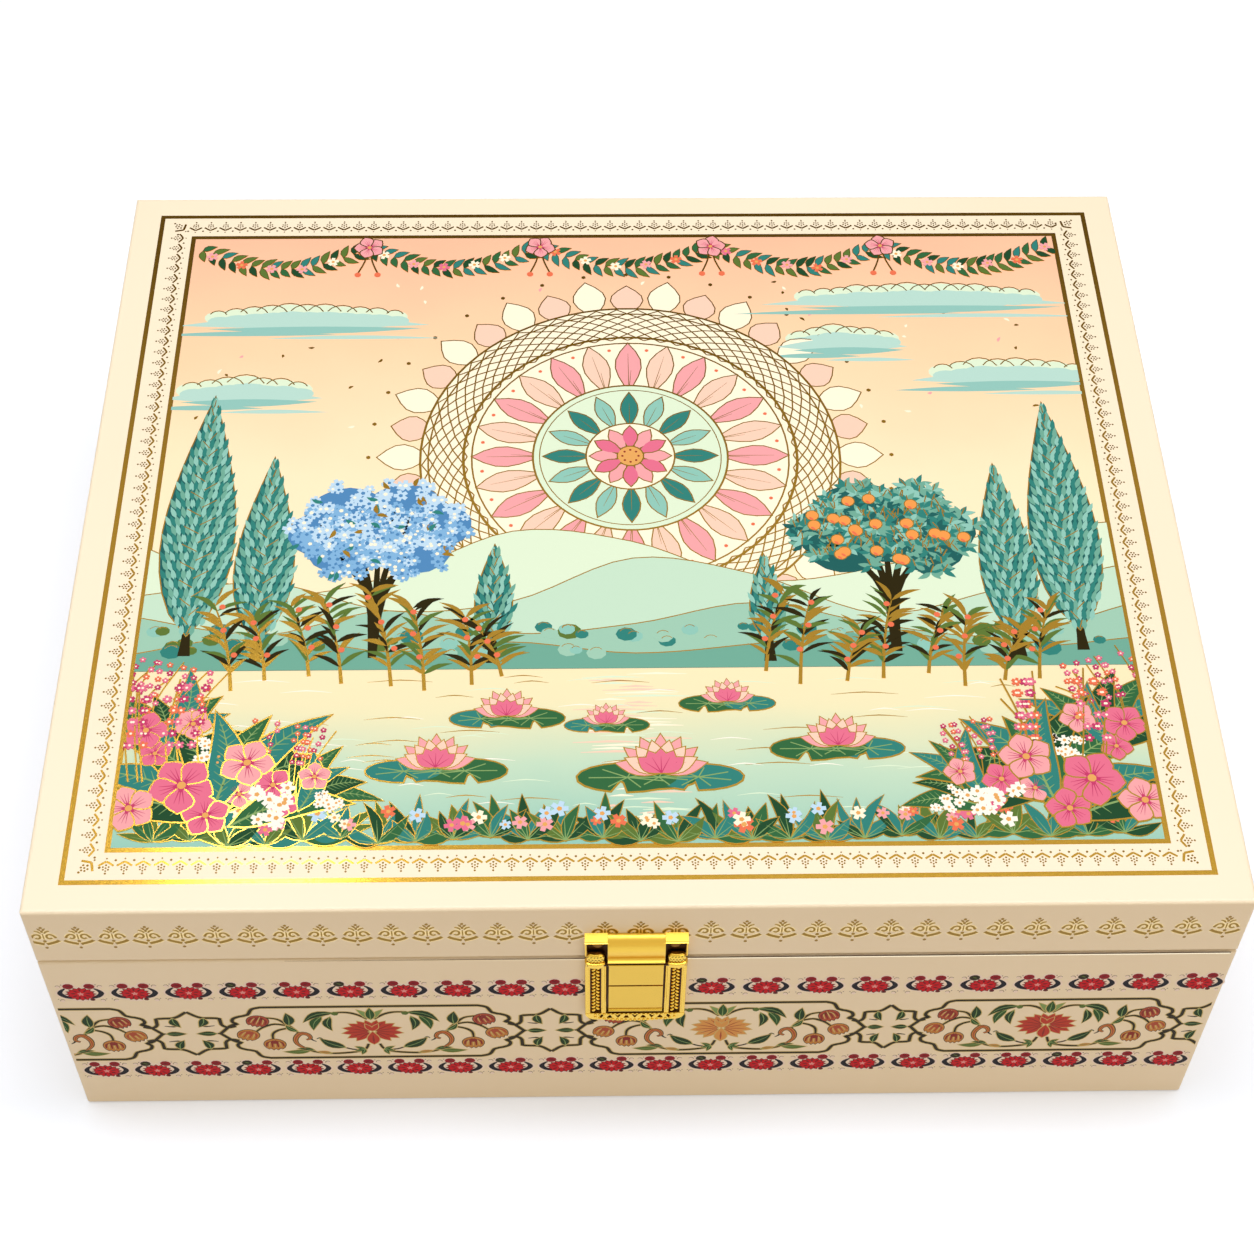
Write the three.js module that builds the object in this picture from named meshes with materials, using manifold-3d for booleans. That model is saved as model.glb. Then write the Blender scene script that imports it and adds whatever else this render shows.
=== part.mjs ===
// Gift box for six glass jars: a hinged board box, wrapped in printed paper and closed by a flip latch.
// Millimetres, +Z up. The origin is the centre of the bottom face, and the latch is on the front, at -Y.
import * as THREE from 'three';
import { mergeVertices } from 'three/addons/utils/BufferGeometryUtils.js';
import Module from 'manifold-3d';

const wasm = await Module();
wasm.setup();

// Box, outside sizes and sheet thicknesses
const boxWidth = 305;
const boxDepth = 260;
const baseHeight = 76;
const lidHeight = 23.4;
const seamGap = 0.6;
const boardThickness = 4;
const paperThickness = 0.4;
const liningThickness = 0.4;
const foldRadius = 2.5 * paperThickness; // the paper's fold over a square board edge
const bottomSheetInset = 1;

// Jars and what holds them
const jarsAcross = 3;
const jarsDeep = 2;
const jarDiameter = 82;
const jarHeadroom = 3.9; // cap's top to the lid's lining
const jarWall = 2.6; // at the neck
const jarFloor = 4;
const jarHeel = 5;
const jarInnerHeel = 3.5;
const jarShoulder = 1.4;
const jarNeckLedge = 0.2;
const jarNeckHeight = 12.5;
const capWall = 0.8;
const capClearance = 0.9; // between the cap's skirt and the jar's neck
const capSkirt = 10.5;
const capCurl = 0.9;
const capEdge = 1.4;
const capPanelRim = 4;
const capPanelDepth = 0.7;
const capButtonDiameter = 20;
const capButtonSlope = 1.5;
const sealGap = 0.1;
const linerThickness = 0.9;
const linerOverhang = 1; // inwards past the jar's rim
const trayThickness = 5;
const trayClearance = 0.5;
const jarHoleClearance = 1;

// Latch: depths are measured outwards from the front face
const latchOffsetX = -1;
const strikeWidth = 26;
const strikeHeight = 11;
const strikeRise = 0.6; // strike's lower edge above the lid's
const latchPlate = 0.8;
const barDepth = 3.3;
const barThickness = 1.2;
const legWidth = 0.8; // strike's side walls, down to the capitals
const hoodWidth = 14.2;
const hoodDepth = 3.8;
const hoodWall = 1;
const hoodRadius = 2.4;
const hoodDrop = 8.2;
const frameWidth = 25.4;
const frameDrop = 29.4; // frame's foot below the base's rim
const frameFall = 0.6; // frame plate's upper edge below the base's rim
const pilasterWidth = 5.6;
const pilasterDepth = 1.8;
const columnRadius = 1.3;
const plinthHeight = 1.8;
const plinthFlare = 0.3;
const capitalHeight = 4.4;
const capitalDepth = 4; // of its rim
const capitalRimHeight = 1.1;
const capitalRise = 4; // capital's top above the base's rim
const cushionInset = 0.6; // behind the rim, at the front and sides
const cushionRadius = 1.4;
const railHeight = 6.2;
const railDepth = 1.8;
const railCorner = 3;
const railBow = 0.9; // lower edge's sag in the middle
const railHoles = 8;
const railHolePitch = 2.1;
const railHoleSide = 1.6;
const railHoleRise = 3; // above the foot
const latchClearance = 0.3;
const latchPinRadius = 0.6;
const latchPinRise = 1.4; // pin's axis above the base's rim
const latchPinDepth = 2.6;
const latchPinInset = 0.3;
const knuckleRadius = 1.5;
const leverLength = 22.8;
const leverBackDepth = 2;
const leverFrontDepth = 3.2;
const leverGrooveDrop = 9.6;
const leverGrooveWidth = 0.8;
const leverGrooveDepth = 0.4;
const leverLipDepth = 4.4;
const leverLipHeight = 1.2;
const leverLipRun = 1.4;

// Nails of the latch
const nailHeadRadius = 1.5;
const nailHeadHeight = 0.6;
const nailShankRadius = 0.6;
const nailLength = 3.6; // under the head
const strikeNailSpacing = 19.4;
const strikeNailDrop = 4.2;
const frameNailSpacing = 12;
const frameNailDrop = 6;

// Butt hinges on the back
const hingeInset = 67.5; // hinge's middle to the box's side
const hingeWidth = 34;
const hingeLeafHeight = 14; // from the pin's axis
const hingeLeafThickness = 0.9;
const hingeKnuckles = 5;
const hingeKnuckleGap = 0.3;
const hingeBarrelRadius = 2.2;
const hingePinRadius = 1.1;
const hingePinClearance = 0.3;
const hingeWallGap = 0.3; // barrel to back face
const hingeBarrelRelief = 0.4;
const screwHeadRadius = 1.9;
const screwHeadHeight = 0.8;
const screwShankRadius = 0.9;
const screwLength = 4.2;
const screwSpacing = 20;
const screwEdge = 4.6; // screw's axis to the leaf's outer edge
const shankClearance = 0.3;

// Facets of round forms
const jarFacets = 16;
const barrelFacets = 12;
const fastenerFacets = 8;
const arcSteps = 4; // to a quarter of an extruded outline
const turnedArcSteps = 2; // to an arc of a turned profile

// Levels and planes that several pieces share
const lidBottom = baseHeight + seamGap;
const lidTop = lidBottom + lidHeight;
const halfWidth = boxWidth / 2;
const halfDepth = boxDepth / 2;
const boardHalfWidth = halfWidth - paperThickness;
const boardHalfDepth = halfDepth - paperThickness;
const innerHalfWidth = boardHalfWidth - boardThickness;
const innerHalfDepth = boardHalfDepth - boardThickness;
const clearHalfWidth = innerHalfWidth - liningThickness;
const clearHalfDepth = innerHalfDepth - liningThickness;
const floorBoardTop = paperThickness + boardThickness;
const floorTop = floorBoardTop + liningThickness;
const rimTop = baseHeight - paperThickness;
const lidRimBottom = lidBottom + paperThickness;
const lidBoardTop = lidTop - paperThickness;
const lidBoardBottom = lidBoardTop - boardThickness;
const lidLiningBottom = lidBoardBottom - liningThickness;
const hingeAxisY = halfDepth + hingeWallGap + hingeBarrelRadius;
const hingeAxisZ = baseHeight + seamGap / 2;

// Finishes
const gold = new THREE.MeshStandardMaterial({ color: 0xe0b93b, roughness: 0.22, metalness: 1 });
const printedPaper = new THREE.MeshStandardMaterial({ color: 0xf8ead0, roughness: 0.5, metalness: 0 });
const plainPaper = new THREE.MeshStandardMaterial({ color: 0xf1e4cb, roughness: 0.8, metalness: 0 });
const greyBoard = new THREE.MeshStandardMaterial({ color: 0xb39b78, roughness: 0.9, metalness: 0 });
const liningPaper = new THREE.MeshStandardMaterial({ color: 0xf4e3c2, roughness: 0.7, metalness: 0 });
const jarGlass = new THREE.MeshStandardMaterial({ color: 0xe9f0ec, roughness: 0.05, metalness: 0 });

// A closed geometry as a solid, without the sliver triangles at a lathe's poles
function solid(geometry) {
  const bare = geometry.clone();
  bare.deleteAttribute('normal');
  bare.deleteAttribute('uv');
  const merged = mergeVertices(bare, 1e-4);
  const triVerts = [];
  for (let i = 0; i < merged.index.count; i += 3) {
    const [a, b, c] = merged.index.array.slice(i, i + 3);
    if (a !== b && b !== c && c !== a) triVerts.push(a, b, c);
  }
  const vertProperties = merged.attributes.position.array;
  const mesh = new wasm.Mesh({ numProp: 3, vertProperties, triVerts: new Uint32Array(triVerts) });
  return new wasm.Manifold(mesh);
}

function geometryOf(body) {
  const { vertProperties, triVerts } = body.getMesh();
  const geometry = new THREE.BufferGeometry();
  geometry.setAttribute('position', new THREE.BufferAttribute(vertProperties, 3));
  geometry.setIndex(new THREE.BufferAttribute(triVerts, 1));
  geometry.computeVertexNormals();
  return geometry;
}

function joined(bodies) {
  return bodies.reduce((sum, body) => sum.add(body));
}

function cut(body, tools) {
  return tools.reduce((rest, tool) => rest.subtract(tool), body);
}

// A block between two values on each axis
function slab([x0, x1], [y0, y1], [z0, z1]) {
  const block = new THREE.BoxGeometry(x1 - x0, y1 - y0, z1 - z0);
  return block.translate((x0 + x1) / 2, (y0 + y1) / 2, (z0 + z1) / 2);
}

function rectangle(halfX, halfY) {
  const shape = new THREE.Shape();
  shape.moveTo(-halfX, -halfY);
  shape.lineTo(halfX, -halfY);
  shape.lineTo(halfX, halfY);
  shape.lineTo(-halfX, halfY);
  return shape;
}

// A rectangle whose lower and upper corners have radii of their own
function roundedRectangle([x0, x1], [y0, y1], lower, upper) {
  const quarter = Math.PI / 2;
  const corners = [[x1, y0, lower, -1], [x1, y1, upper, 0], [x0, y1, upper, 1], [x0, y0, lower, 2]];
  const shape = new THREE.Shape();
  for (const [x, y, radius, turn] of corners) {
    const inX = x - Math.sign(x - (x0 + x1) / 2) * radius;
    const inY = y - Math.sign(y - (y0 + y1) / 2) * radius;
    if (radius > 0) shape.absarc(inX, inY, radius, turn * quarter, (turn + 1) * quarter);
    else shape.lineTo(x, y);
  }
  return shape;
}

// Extrusions of an outline: upwards, along X of one in (outwards, up), and outwards of one in (x, up)
function upright(shape, z0, z1, curveSegments = arcSteps) {
  const options = { depth: z1 - z0, bevelEnabled: false, curveSegments };
  return new THREE.ExtrudeGeometry(shape, options).translate(0, 0, z0);
}

function crosswise(shape, x0, x1, curveSegments = arcSteps) {
  const turn = new THREE.Matrix4().makeBasis(
    new THREE.Vector3(0, -1, 0), new THREE.Vector3(0, 0, 1), new THREE.Vector3(-1, 0, 0));
  const options = { depth: x1 - x0, bevelEnabled: false, curveSegments };
  return new THREE.ExtrudeGeometry(shape, options).applyMatrix4(turn).translate(x1, 0, 0);
}

function outward(shape, depth, curveSegments = arcSteps) {
  const options = { depth, bevelEnabled: false, curveSegments };
  return new THREE.ExtrudeGeometry(shape, options).rotateX(Math.PI / 2);
}

function rodAlongX(radius, x0, x1, y, z, facets) {
  const rod = new THREE.CylinderGeometry(radius, radius, x1 - x0, facets);
  return rod.rotateZ(Math.PI / 2).translate((x0 + x1) / 2, y, z);
}

function rodAlongY(radius, y0, y1, x, z) {
  const rod = new THREE.CylinderGeometry(radius, radius, y1 - y0, fastenerFacets);
  return rod.translate(x, (y0 + y1) / 2, z);
}

function turnedUpright(profile, facets) {
  return new THREE.LatheGeometry(profile, facets).rotateX(Math.PI / 2);
}

// A paper-covered block with folded upright edges and, where asked, folded lower and upper edges
function foldedBlock(z0, z1, lowerFold, upperFold) {
  const plan = roundedRectangle([-halfWidth, halfWidth], [-halfDepth, halfDepth], foldRadius, foldRadius);
  const side = roundedRectangle([-halfDepth, halfDepth], [z0, z1], lowerFold, upperFold);
  const front = roundedRectangle([-halfWidth, halfWidth], [z0, z1], lowerFold, upperFold);
  const block = solid(upright(plan, z0, z1));
  const acrossX = solid(crosswise(side, -halfWidth, halfWidth));
  const acrossY = solid(outward(front, boxDepth).translate(0, halfDepth, 0));
  return block.intersect(acrossX).intersect(acrossY);
}

// Where the fasteners go, as [x, z] on the front and back faces
const strikeTop = lidBottom + strikeRise + strikeHeight;
const strikeNailZ = strikeTop - strikeNailDrop;
const strikeNails = [-1, 1].map((side) => [latchOffsetX + side * strikeNailSpacing / 2, strikeNailZ]);
const frameNailTop = baseHeight - frameNailDrop;
const frameNails = [0, 1].map((row) => [latchOffsetX, frameNailTop - row * frameNailSpacing]);
const hingeCentres = [hingeInset - halfWidth, halfWidth - hingeInset];
const screwRise = hingeLeafHeight - screwEdge;

function screwPlaces(direction) {
  const z = hingeAxisZ + direction * screwRise;
  return hingeCentres.flatMap((x) => [-1, 1].map((side) => [x + side * screwSpacing / 2, z]));
}

const lidScrews = screwPlaces(1);
const baseScrews = screwPlaces(-1);

// Blind holes into the front and back faces, for shanks that pass a plate of the given thickness
function frontHoles(places, plate) {
  const depth = nailLength - plate + shankClearance;
  const radius = nailShankRadius + shankClearance;
  const outside = -halfDepth - plate - 1;
  return places.map(([x, z]) => solid(rodAlongY(radius, outside, depth - halfDepth, x, z)));
}

function backHoles(places) {
  const depth = screwLength - hingeLeafThickness + shankClearance;
  const radius = screwShankRadius + shankClearance;
  const outside = halfDepth + hingeLeafThickness + 1;
  return places.map(([x, z]) => solid(rodAlongY(radius, halfDepth - depth, outside, x, z)));
}

const strikeHoles = frontHoles(strikeNails, latchPlate);
const frameHoles = frontHoles(frameNails, latchPlate);
const lidScrewHoles = backHoles(lidScrews);
const baseScrewHoles = backHoles(baseScrews);

// The four walls of the base or the lid: front and back run the full width, the sides fit between them
function wallBoards(z0, z1) {
  const full = [-boardHalfWidth, boardHalfWidth];
  const between = [-innerHalfDepth, innerHalfDepth];
  return {
    front: solid(slab(full, [-boardHalfDepth, -innerHalfDepth], [z0, z1])),
    back: solid(slab(full, [innerHalfDepth, boardHalfDepth], [z0, z1])),
    left: solid(slab([-boardHalfWidth, -innerHalfWidth], between, [z0, z1])),
    right: solid(slab([innerHalfWidth, boardHalfWidth], between, [z0, z1])),
  };
}

function wallLining(z0, z1) {
  const ring = rectangle(innerHalfWidth, innerHalfDepth);
  ring.holes.push(rectangle(clearHalfWidth, clearHalfDepth));
  return upright(ring, z0, z1);
}

const part = new THREE.Group();

function addPiece(parent, name, geometry, material) {
  const mesh = new THREE.Mesh(geometry, material);
  mesh.name = name;
  parent.add(mesh);
  return mesh;
}

// Base
const baseWalls = wallBoards(paperThickness, rimTop);
const baseFront = cut(baseWalls.front, frameHoles);
const baseBack = cut(baseWalls.back, baseScrewHoles);
const innerX = [-innerHalfWidth, innerHalfWidth];
const innerY = [-innerHalfDepth, innerHalfDepth];
const boardX = [-boardHalfWidth, boardHalfWidth];
const boardY = [-boardHalfDepth, boardHalfDepth];
const mouth = [[-clearHalfWidth, clearHalfWidth], [-clearHalfDepth, clearHalfDepth]];
const sheetX = [bottomSheetInset - halfWidth, halfWidth - bottomSheetInset];
const sheetY = [bottomSheetInset - halfDepth, halfDepth - bottomSheetInset];
const baseCavity = solid(slab(boardX, boardY, [-baseHeight, rimTop]));
const baseMouth = solid(slab(...mouth, [0, lidTop]));
const baseBlock = foldedBlock(paperThickness, baseHeight, 0, foldRadius);
const baseWrap = cut(baseBlock, [baseCavity, baseMouth, ...frameHoles, ...baseScrewHoles]);

addPiece(part, 'base_bottom_sheet', slab(sheetX, sheetY, [0, paperThickness]), plainPaper);
addPiece(part, 'base_bottom_board', slab(innerX, innerY, [paperThickness, floorBoardTop]), greyBoard);
addPiece(part, 'base_front_board', geometryOf(baseFront), greyBoard);
addPiece(part, 'base_back_board', geometryOf(baseBack), greyBoard);
addPiece(part, 'base_left_board', geometryOf(baseWalls.left), greyBoard);
addPiece(part, 'base_right_board', geometryOf(baseWalls.right), greyBoard);
addPiece(part, 'base_wrap', geometryOf(baseWrap), printedPaper);
addPiece(part, 'base_floor_lining', slab(innerX, innerY, [floorBoardTop, floorTop]), liningPaper);
addPiece(part, 'base_wall_lining', wallLining(floorTop, rimTop), liningPaper);

// Lid
const lidWalls = wallBoards(lidRimBottom, lidBoardBottom);
const lidFront = cut(lidWalls.front, strikeHoles);
const lidBack = cut(lidWalls.back, lidScrewHoles);
const lidCavity = solid(slab(boardX, boardY, [lidRimBottom, lidBoardTop]));
const lidMouth = solid(slab(...mouth, [0, lidBoardBottom]));
const lidBlock = foldedBlock(lidBottom, lidTop, foldRadius, foldRadius);
const lidWrap = cut(lidBlock, [lidCavity, lidMouth, ...strikeHoles, ...lidScrewHoles]);

addPiece(part, 'lid_top_board', slab(boardX, boardY, [lidBoardBottom, lidBoardTop]), greyBoard);
addPiece(part, 'lid_front_board', geometryOf(lidFront), greyBoard);
addPiece(part, 'lid_back_board', geometryOf(lidBack), greyBoard);
addPiece(part, 'lid_left_board', geometryOf(lidWalls.left), greyBoard);
addPiece(part, 'lid_right_board', geometryOf(lidWalls.right), greyBoard);
addPiece(part, 'lid_wrap', geometryOf(lidWrap), printedPaper);
addPiece(part, 'lid_top_lining', slab(innerX, innerY, [lidLiningBottom, lidBoardBottom]), liningPaper);
addPiece(part, 'lid_wall_lining', wallLining(lidRimBottom, lidLiningBottom), liningPaper);

// Jars in rows, with even gaps to each other and the lining, and a headroom over their caps
const jarRadius = jarDiameter / 2;
const capHeadHeight = sealGap + linerThickness + capWall + capPanelDepth; // cap's top above the jar's rim
const jarHeight = lidLiningBottom - jarHeadroom - capHeadHeight - floorTop;

function jarRow(count, clearLength) {
  const gap = (clearLength - count * jarDiameter) / (count + 1);
  return Array.from({ length: count }, (_, index) => (index - (count - 1) / 2) * (jarDiameter + gap));
}

const neckRadius = jarRadius - jarShoulder - jarNeckLedge;
const shoulderTop = jarHeight - jarNeckHeight;
const shoulderStart = shoulderTop - jarShoulder;
const jarColumns = jarRow(jarsAcross, 2 * clearHalfWidth);
const jarPlaces = jarRow(jarsDeep, 2 * clearHalfDepth).flatMap((y) => jarColumns.map((x) => [x, y]));

function jarGeometry() {
  const quarter = Math.PI / 2;
  const inside = neckRadius - jarWall;
  const path = new THREE.Path();
  path.moveTo(0, 0);
  path.lineTo(jarRadius - jarHeel, 0);
  path.absarc(jarRadius - jarHeel, jarHeel, jarHeel, -quarter, 0);
  path.absarc(jarRadius - jarShoulder, shoulderStart, jarShoulder, 0, quarter);
  path.lineTo(neckRadius, shoulderTop);
  path.lineTo(neckRadius, jarHeight);
  path.lineTo(inside, jarHeight);
  path.absarc(inside - jarInnerHeel, jarFloor + jarInnerHeel, jarInnerHeel, 0, -quarter, true);
  path.lineTo(0, jarFloor);
  return turnedUpright(path.getPoints(turnedArcSteps / 2), jarFacets);
}

// Lug cap, from the middle of its underside past the sealing ring, round the skirt and to its button
const capInnerRadius = neckRadius + capClearance;
const capOuterRadius = capInnerRadius + capWall;
const capUnderside = jarHeight + sealGap + linerThickness;
const capTop = jarHeight + capHeadHeight;
const capBottom = capUnderside - capSkirt;

function capGeometry() {
  const buttonRadius = capButtonDiameter / 2;
  const panelRadius = capOuterRadius - capPanelRim;
  const panelTop = capTop - capPanelDepth;
  const ringInner = neckRadius - jarWall - linerOverhang;
  const ringBottom = capUnderside - linerThickness;
  const path = new THREE.Path();
  path.moveTo(0, capUnderside);
  path.lineTo(ringInner, capUnderside);
  path.lineTo(ringInner, ringBottom);
  path.lineTo(capInnerRadius, ringBottom);
  path.lineTo(capInnerRadius, capBottom);
  path.absarc(capOuterRadius, capBottom + capCurl, capCurl, -Math.PI / 2, Math.PI / 2);
  path.absarc(capOuterRadius - capEdge, capTop - capEdge, capEdge, 0, Math.PI / 2);
  path.lineTo(panelRadius, capTop);
  path.lineTo(panelRadius - capPanelDepth, panelTop);
  path.lineTo(buttonRadius, panelTop);
  path.lineTo(buttonRadius - capButtonSlope, capTop);
  path.lineTo(0, capTop);
  return turnedUpright(path.getPoints(turnedArcSteps / 2), jarFacets);
}

const jarShape = jarGeometry();
const capShape = capGeometry();
jarPlaces.forEach(([x, y], index) => {
  const jar = new THREE.Group();
  jar.position.set(x, y, floorTop);
  addPiece(jar, `jar_${index + 1}`, jarShape, jarGlass);
  addPiece(jar, `jar_cap_${index + 1}`, capShape, gold);
  part.add(jar);
});

// Tray on the floor, with a hole round the foot of each jar
const trayShape = rectangle(clearHalfWidth - trayClearance, clearHalfDepth - trayClearance);
for (const [x, y] of jarPlaces) {
  const hole = new THREE.Path();
  hole.absarc(x, y, jarRadius + jarHoleClearance, 0, 2 * Math.PI);
  trayShape.holes.push(hole);
}
const tray = upright(trayShape, floorTop, floorTop + trayThickness, jarFacets / 2);
addPiece(part, 'jar_tray', tray, liningPaper);

// Nails and screws, turned about their own axis, head first along +Y
function fastenerGeometry(headRadius, headHeight, shankRadius, length) {
  const profile = [[0, -headHeight]];
  for (let step = 1; step <= turnedArcSteps; step += 1) {
    const angle = (step / turnedArcSteps) * (Math.PI / 2);
    profile.push([headRadius * Math.sin(angle), -headHeight * Math.cos(angle)]);
  }
  profile.push([shankRadius, 0], [shankRadius, length - shankRadius], [0, length]);
  return new THREE.LatheGeometry(profile.map(([r, y]) => new THREE.Vector2(r, y)), fastenerFacets);
}

function addFasteners(names, geometry, places, y, turn) {
  places.forEach(([x, z], index) => {
    const fastener = addPiece(part, names[index], geometry, gold);
    fastener.position.set(x, y, z);
    fastener.rotation.z = turn;
  });
}

const nail = fastenerGeometry(nailHeadRadius, nailHeadHeight, nailShankRadius, nailLength);
const screw = fastenerGeometry(screwHeadRadius, screwHeadHeight, screwShankRadius, screwLength);
const latchFace = -halfDepth - latchPlate;
const hingeFace = halfDepth + hingeLeafThickness;
const screwNames = (leaf) => ['left_', 'right_'].flatMap((hinge) => (
  [1, 2].map((number) => `hinge_${hinge}${leaf}_screw_${number}`)));
addFasteners(['latch_strike_nail_left', 'latch_strike_nail_right'], nail, strikeNails, latchFace, 0);
addFasteners(['latch_frame_nail_upper', 'latch_frame_nail_lower'], nail, frameNails, latchFace, 0);
addFasteners(screwNames('lid'), screw, lidScrews, hingeFace, Math.PI);
addFasteners(screwNames('base'), screw, baseScrews, hingeFace, Math.PI);

// Latch, in a frame on the front face: x from the latch's middle, y = -depth, z as on the box
const latch = new THREE.Group();
latch.position.set(latchOffsetX, -halfDepth, 0);
part.add(latch);

function latchHoles(places) {
  const radius = nailShankRadius + shankClearance;
  return places.map(([x, z]) => solid(rodAlongY(radius, -latchPlate - 1, 1, x - latchOffsetX, z)));
}

const pinZ = baseHeight + latchPinRise;
const capitalTop = baseHeight + capitalRise;
const capitalBottom = capitalTop - capitalHeight;

function strikeBody() {
  const bottom = lidBottom + strikeRise;
  const nose = barThickness / 2;
  const angle = new THREE.Shape();
  angle.moveTo(0, bottom);
  angle.lineTo(latchPlate, bottom);
  angle.lineTo(latchPlate, strikeTop - barThickness);
  angle.absarc(barDepth - nose, strikeTop - nose, nose, -Math.PI / 2, Math.PI / 2);
  angle.lineTo(0, strikeTop);
  const plate = solid(crosswise(angle, -strikeWidth / 2, strikeWidth / 2));

  const bendDepth = hoodDepth - hoodRadius;
  const bendZ = strikeTop - hoodRadius;
  const hoodBottom = strikeTop - hoodDrop;
  const sheet = new THREE.Shape();
  sheet.moveTo(latchPlate / 2, strikeTop);
  sheet.lineTo(latchPlate / 2, strikeTop - hoodWall);
  sheet.absarc(bendDepth, bendZ, hoodRadius - hoodWall, Math.PI / 2, 0, true);
  sheet.lineTo(hoodDepth - hoodWall, hoodBottom);
  sheet.lineTo(hoodDepth, hoodBottom);
  sheet.absarc(bendDepth, bendZ, hoodRadius, 0, Math.PI / 2);
  const hood = solid(crosswise(sheet, -hoodWidth / 2, hoodWidth / 2));

  const legZ = [capitalTop + latchClearance, strikeTop - barThickness / 2];
  const legs = [-1, 1].map((side) => {
    const edges = [side * strikeWidth / 2, side * (strikeWidth / 2 - legWidth)].sort((a, b) => a - b);
    return solid(slab(edges, [nose - barDepth, 0], legZ));
  });
  return cut(joined([plate, hood, ...legs]), latchHoles(strikeNails));
}

// Frame: back plate, pierced foot rail, and two pilasters whose capitals carry the lever's pin
const frameBottom = baseHeight - frameDrop;
const railTop = frameBottom + railHeight;
const railEdge = frameBottom + railBow;
const railShoulder = railEdge + railCorner;
const columnX = (frameWidth - pilasterWidth) / 2;

function footRail() {
  const half = frameWidth / 2;
  const shape = new THREE.Shape();
  shape.moveTo(half, railTop);
  shape.lineTo(-half, railTop);
  shape.lineTo(-half, railShoulder);
  shape.absarc(railCorner - half, railShoulder, railCorner, Math.PI, 1.5 * Math.PI);
  shape.quadraticCurveTo(0, railEdge - 2 * railBow, half - railCorner, railEdge);
  shape.absarc(half - railCorner, railShoulder, railCorner, 1.5 * Math.PI, 2 * Math.PI);
  const triangle = railHoleSide / Math.sqrt(3);
  for (let i = 0; i < railHoles; i += 1) {
    const x = (i - (railHoles - 1) / 2) * railHolePitch;
    const turn = i % 2 === 0 ? Math.PI / 2 : -Math.PI / 2;
    const corners = [0, 1, 2].map((corner) => turn + corner * 2 * Math.PI / 3);
    const points = corners.map((angle) => new THREE.Vector2(
      x + triangle * Math.cos(angle), frameBottom + railHoleRise + triangle * Math.sin(angle)));
    shape.holes.push(new THREE.Path(points));
  }
  return solid(outward(shape, railDepth));
}

function pilaster(x) {
  const half = pilasterWidth / 2;
  const top = capitalBottom + capitalRimHeight / 2;
  const flat = solid(slab([x - half, x + half], [-pilasterDepth, 0], [railShoulder, top]));
  const plinthTop = railTop + plinthHeight;
  const wide = columnRadius + plinthFlare;
  const rings = [[0, railShoulder], [wide, railShoulder], [wide, plinthTop - plinthFlare],
    [columnRadius, plinthTop], [columnRadius, capitalBottom - plinthFlare], [wide, capitalBottom],
    [wide, top], [0, top]];
  const shaft = turnedUpright(rings.map(([r, z]) => new THREE.Vector2(r, z)), barrelFacets);
  const turned = solid(shaft.translate(x, -pilasterDepth, 0));
  const inFront = slab([x - frameWidth, x + frameWidth], [-boxDepth, -latchPlate / 2], [0, lidTop]);
  return flat.add(turned.intersect(solid(inFront)));
}

function capital(x) {
  const half = pilasterWidth / 2;
  const back = latchPlate + latchClearance;
  const rimTop = capitalBottom + capitalRimHeight;
  const rim = solid(slab([x - half, x + half], [-capitalDepth, -back], [capitalBottom, rimTop]));
  const front = capitalDepth - cushionInset;
  const shape = new THREE.Shape();
  shape.moveTo(back, capitalBottom);
  shape.lineTo(front, capitalBottom);
  shape.absarc(front - cushionRadius, capitalTop - cushionRadius, cushionRadius, 0, Math.PI / 2);
  shape.lineTo(back, capitalTop);
  return rim.add(solid(crosswise(shape, x - half + cushionInset, x + half - cushionInset)));
}

function frameBody() {
  const half = frameWidth / 2;
  const plate = solid(slab([-half, half], [-latchPlate, 0], [railShoulder, baseHeight - frameFall]));
  const sides = [-columnX, columnX].flatMap((x) => [pilaster(x), capital(x)]);
  const boreRadius = latchPinRadius + latchClearance;
  const bore = solid(rodAlongX(boreRadius, -frameWidth, frameWidth, -latchPinDepth, pinZ, barrelFacets));
  return cut(joined([plate, footRail(), ...sides]), [bore, ...latchHoles(frameNails)]);
}

// Lever: a knuckle round the pin and a panel down to a thumb lip, with a groove across it
function leverBody() {
  const half = frameWidth / 2 - pilasterWidth - latchClearance;
  const bottom = pinZ - leverLength;
  const grooveZ = pinZ - leverGrooveDrop;
  const lipTop = bottom + leverLipHeight;
  const panel = new THREE.Shape();
  panel.moveTo(leverBackDepth, pinZ);
  panel.lineTo(leverBackDepth, bottom);
  panel.lineTo(leverLipDepth, bottom);
  panel.lineTo(leverLipDepth, lipTop);
  panel.quadraticCurveTo(leverFrontDepth, lipTop, leverFrontDepth, lipTop + leverLipRun);
  panel.lineTo(leverFrontDepth, grooveZ - leverGrooveWidth / 2);
  panel.lineTo(leverFrontDepth - leverGrooveDepth, grooveZ);
  panel.lineTo(leverFrontDepth, grooveZ + leverGrooveWidth / 2);
  panel.lineTo(leverFrontDepth, pinZ);
  const boreRadius = latchPinRadius + latchClearance;
  const knuckle = solid(rodAlongX(knuckleRadius, -half, half, -latchPinDepth, pinZ, barrelFacets));
  const bore = solid(rodAlongX(boreRadius, -frameWidth, frameWidth, -latchPinDepth, pinZ, barrelFacets));
  return cut(joined([solid(crosswise(panel, -half, half)), knuckle]), [bore]);
}

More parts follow.
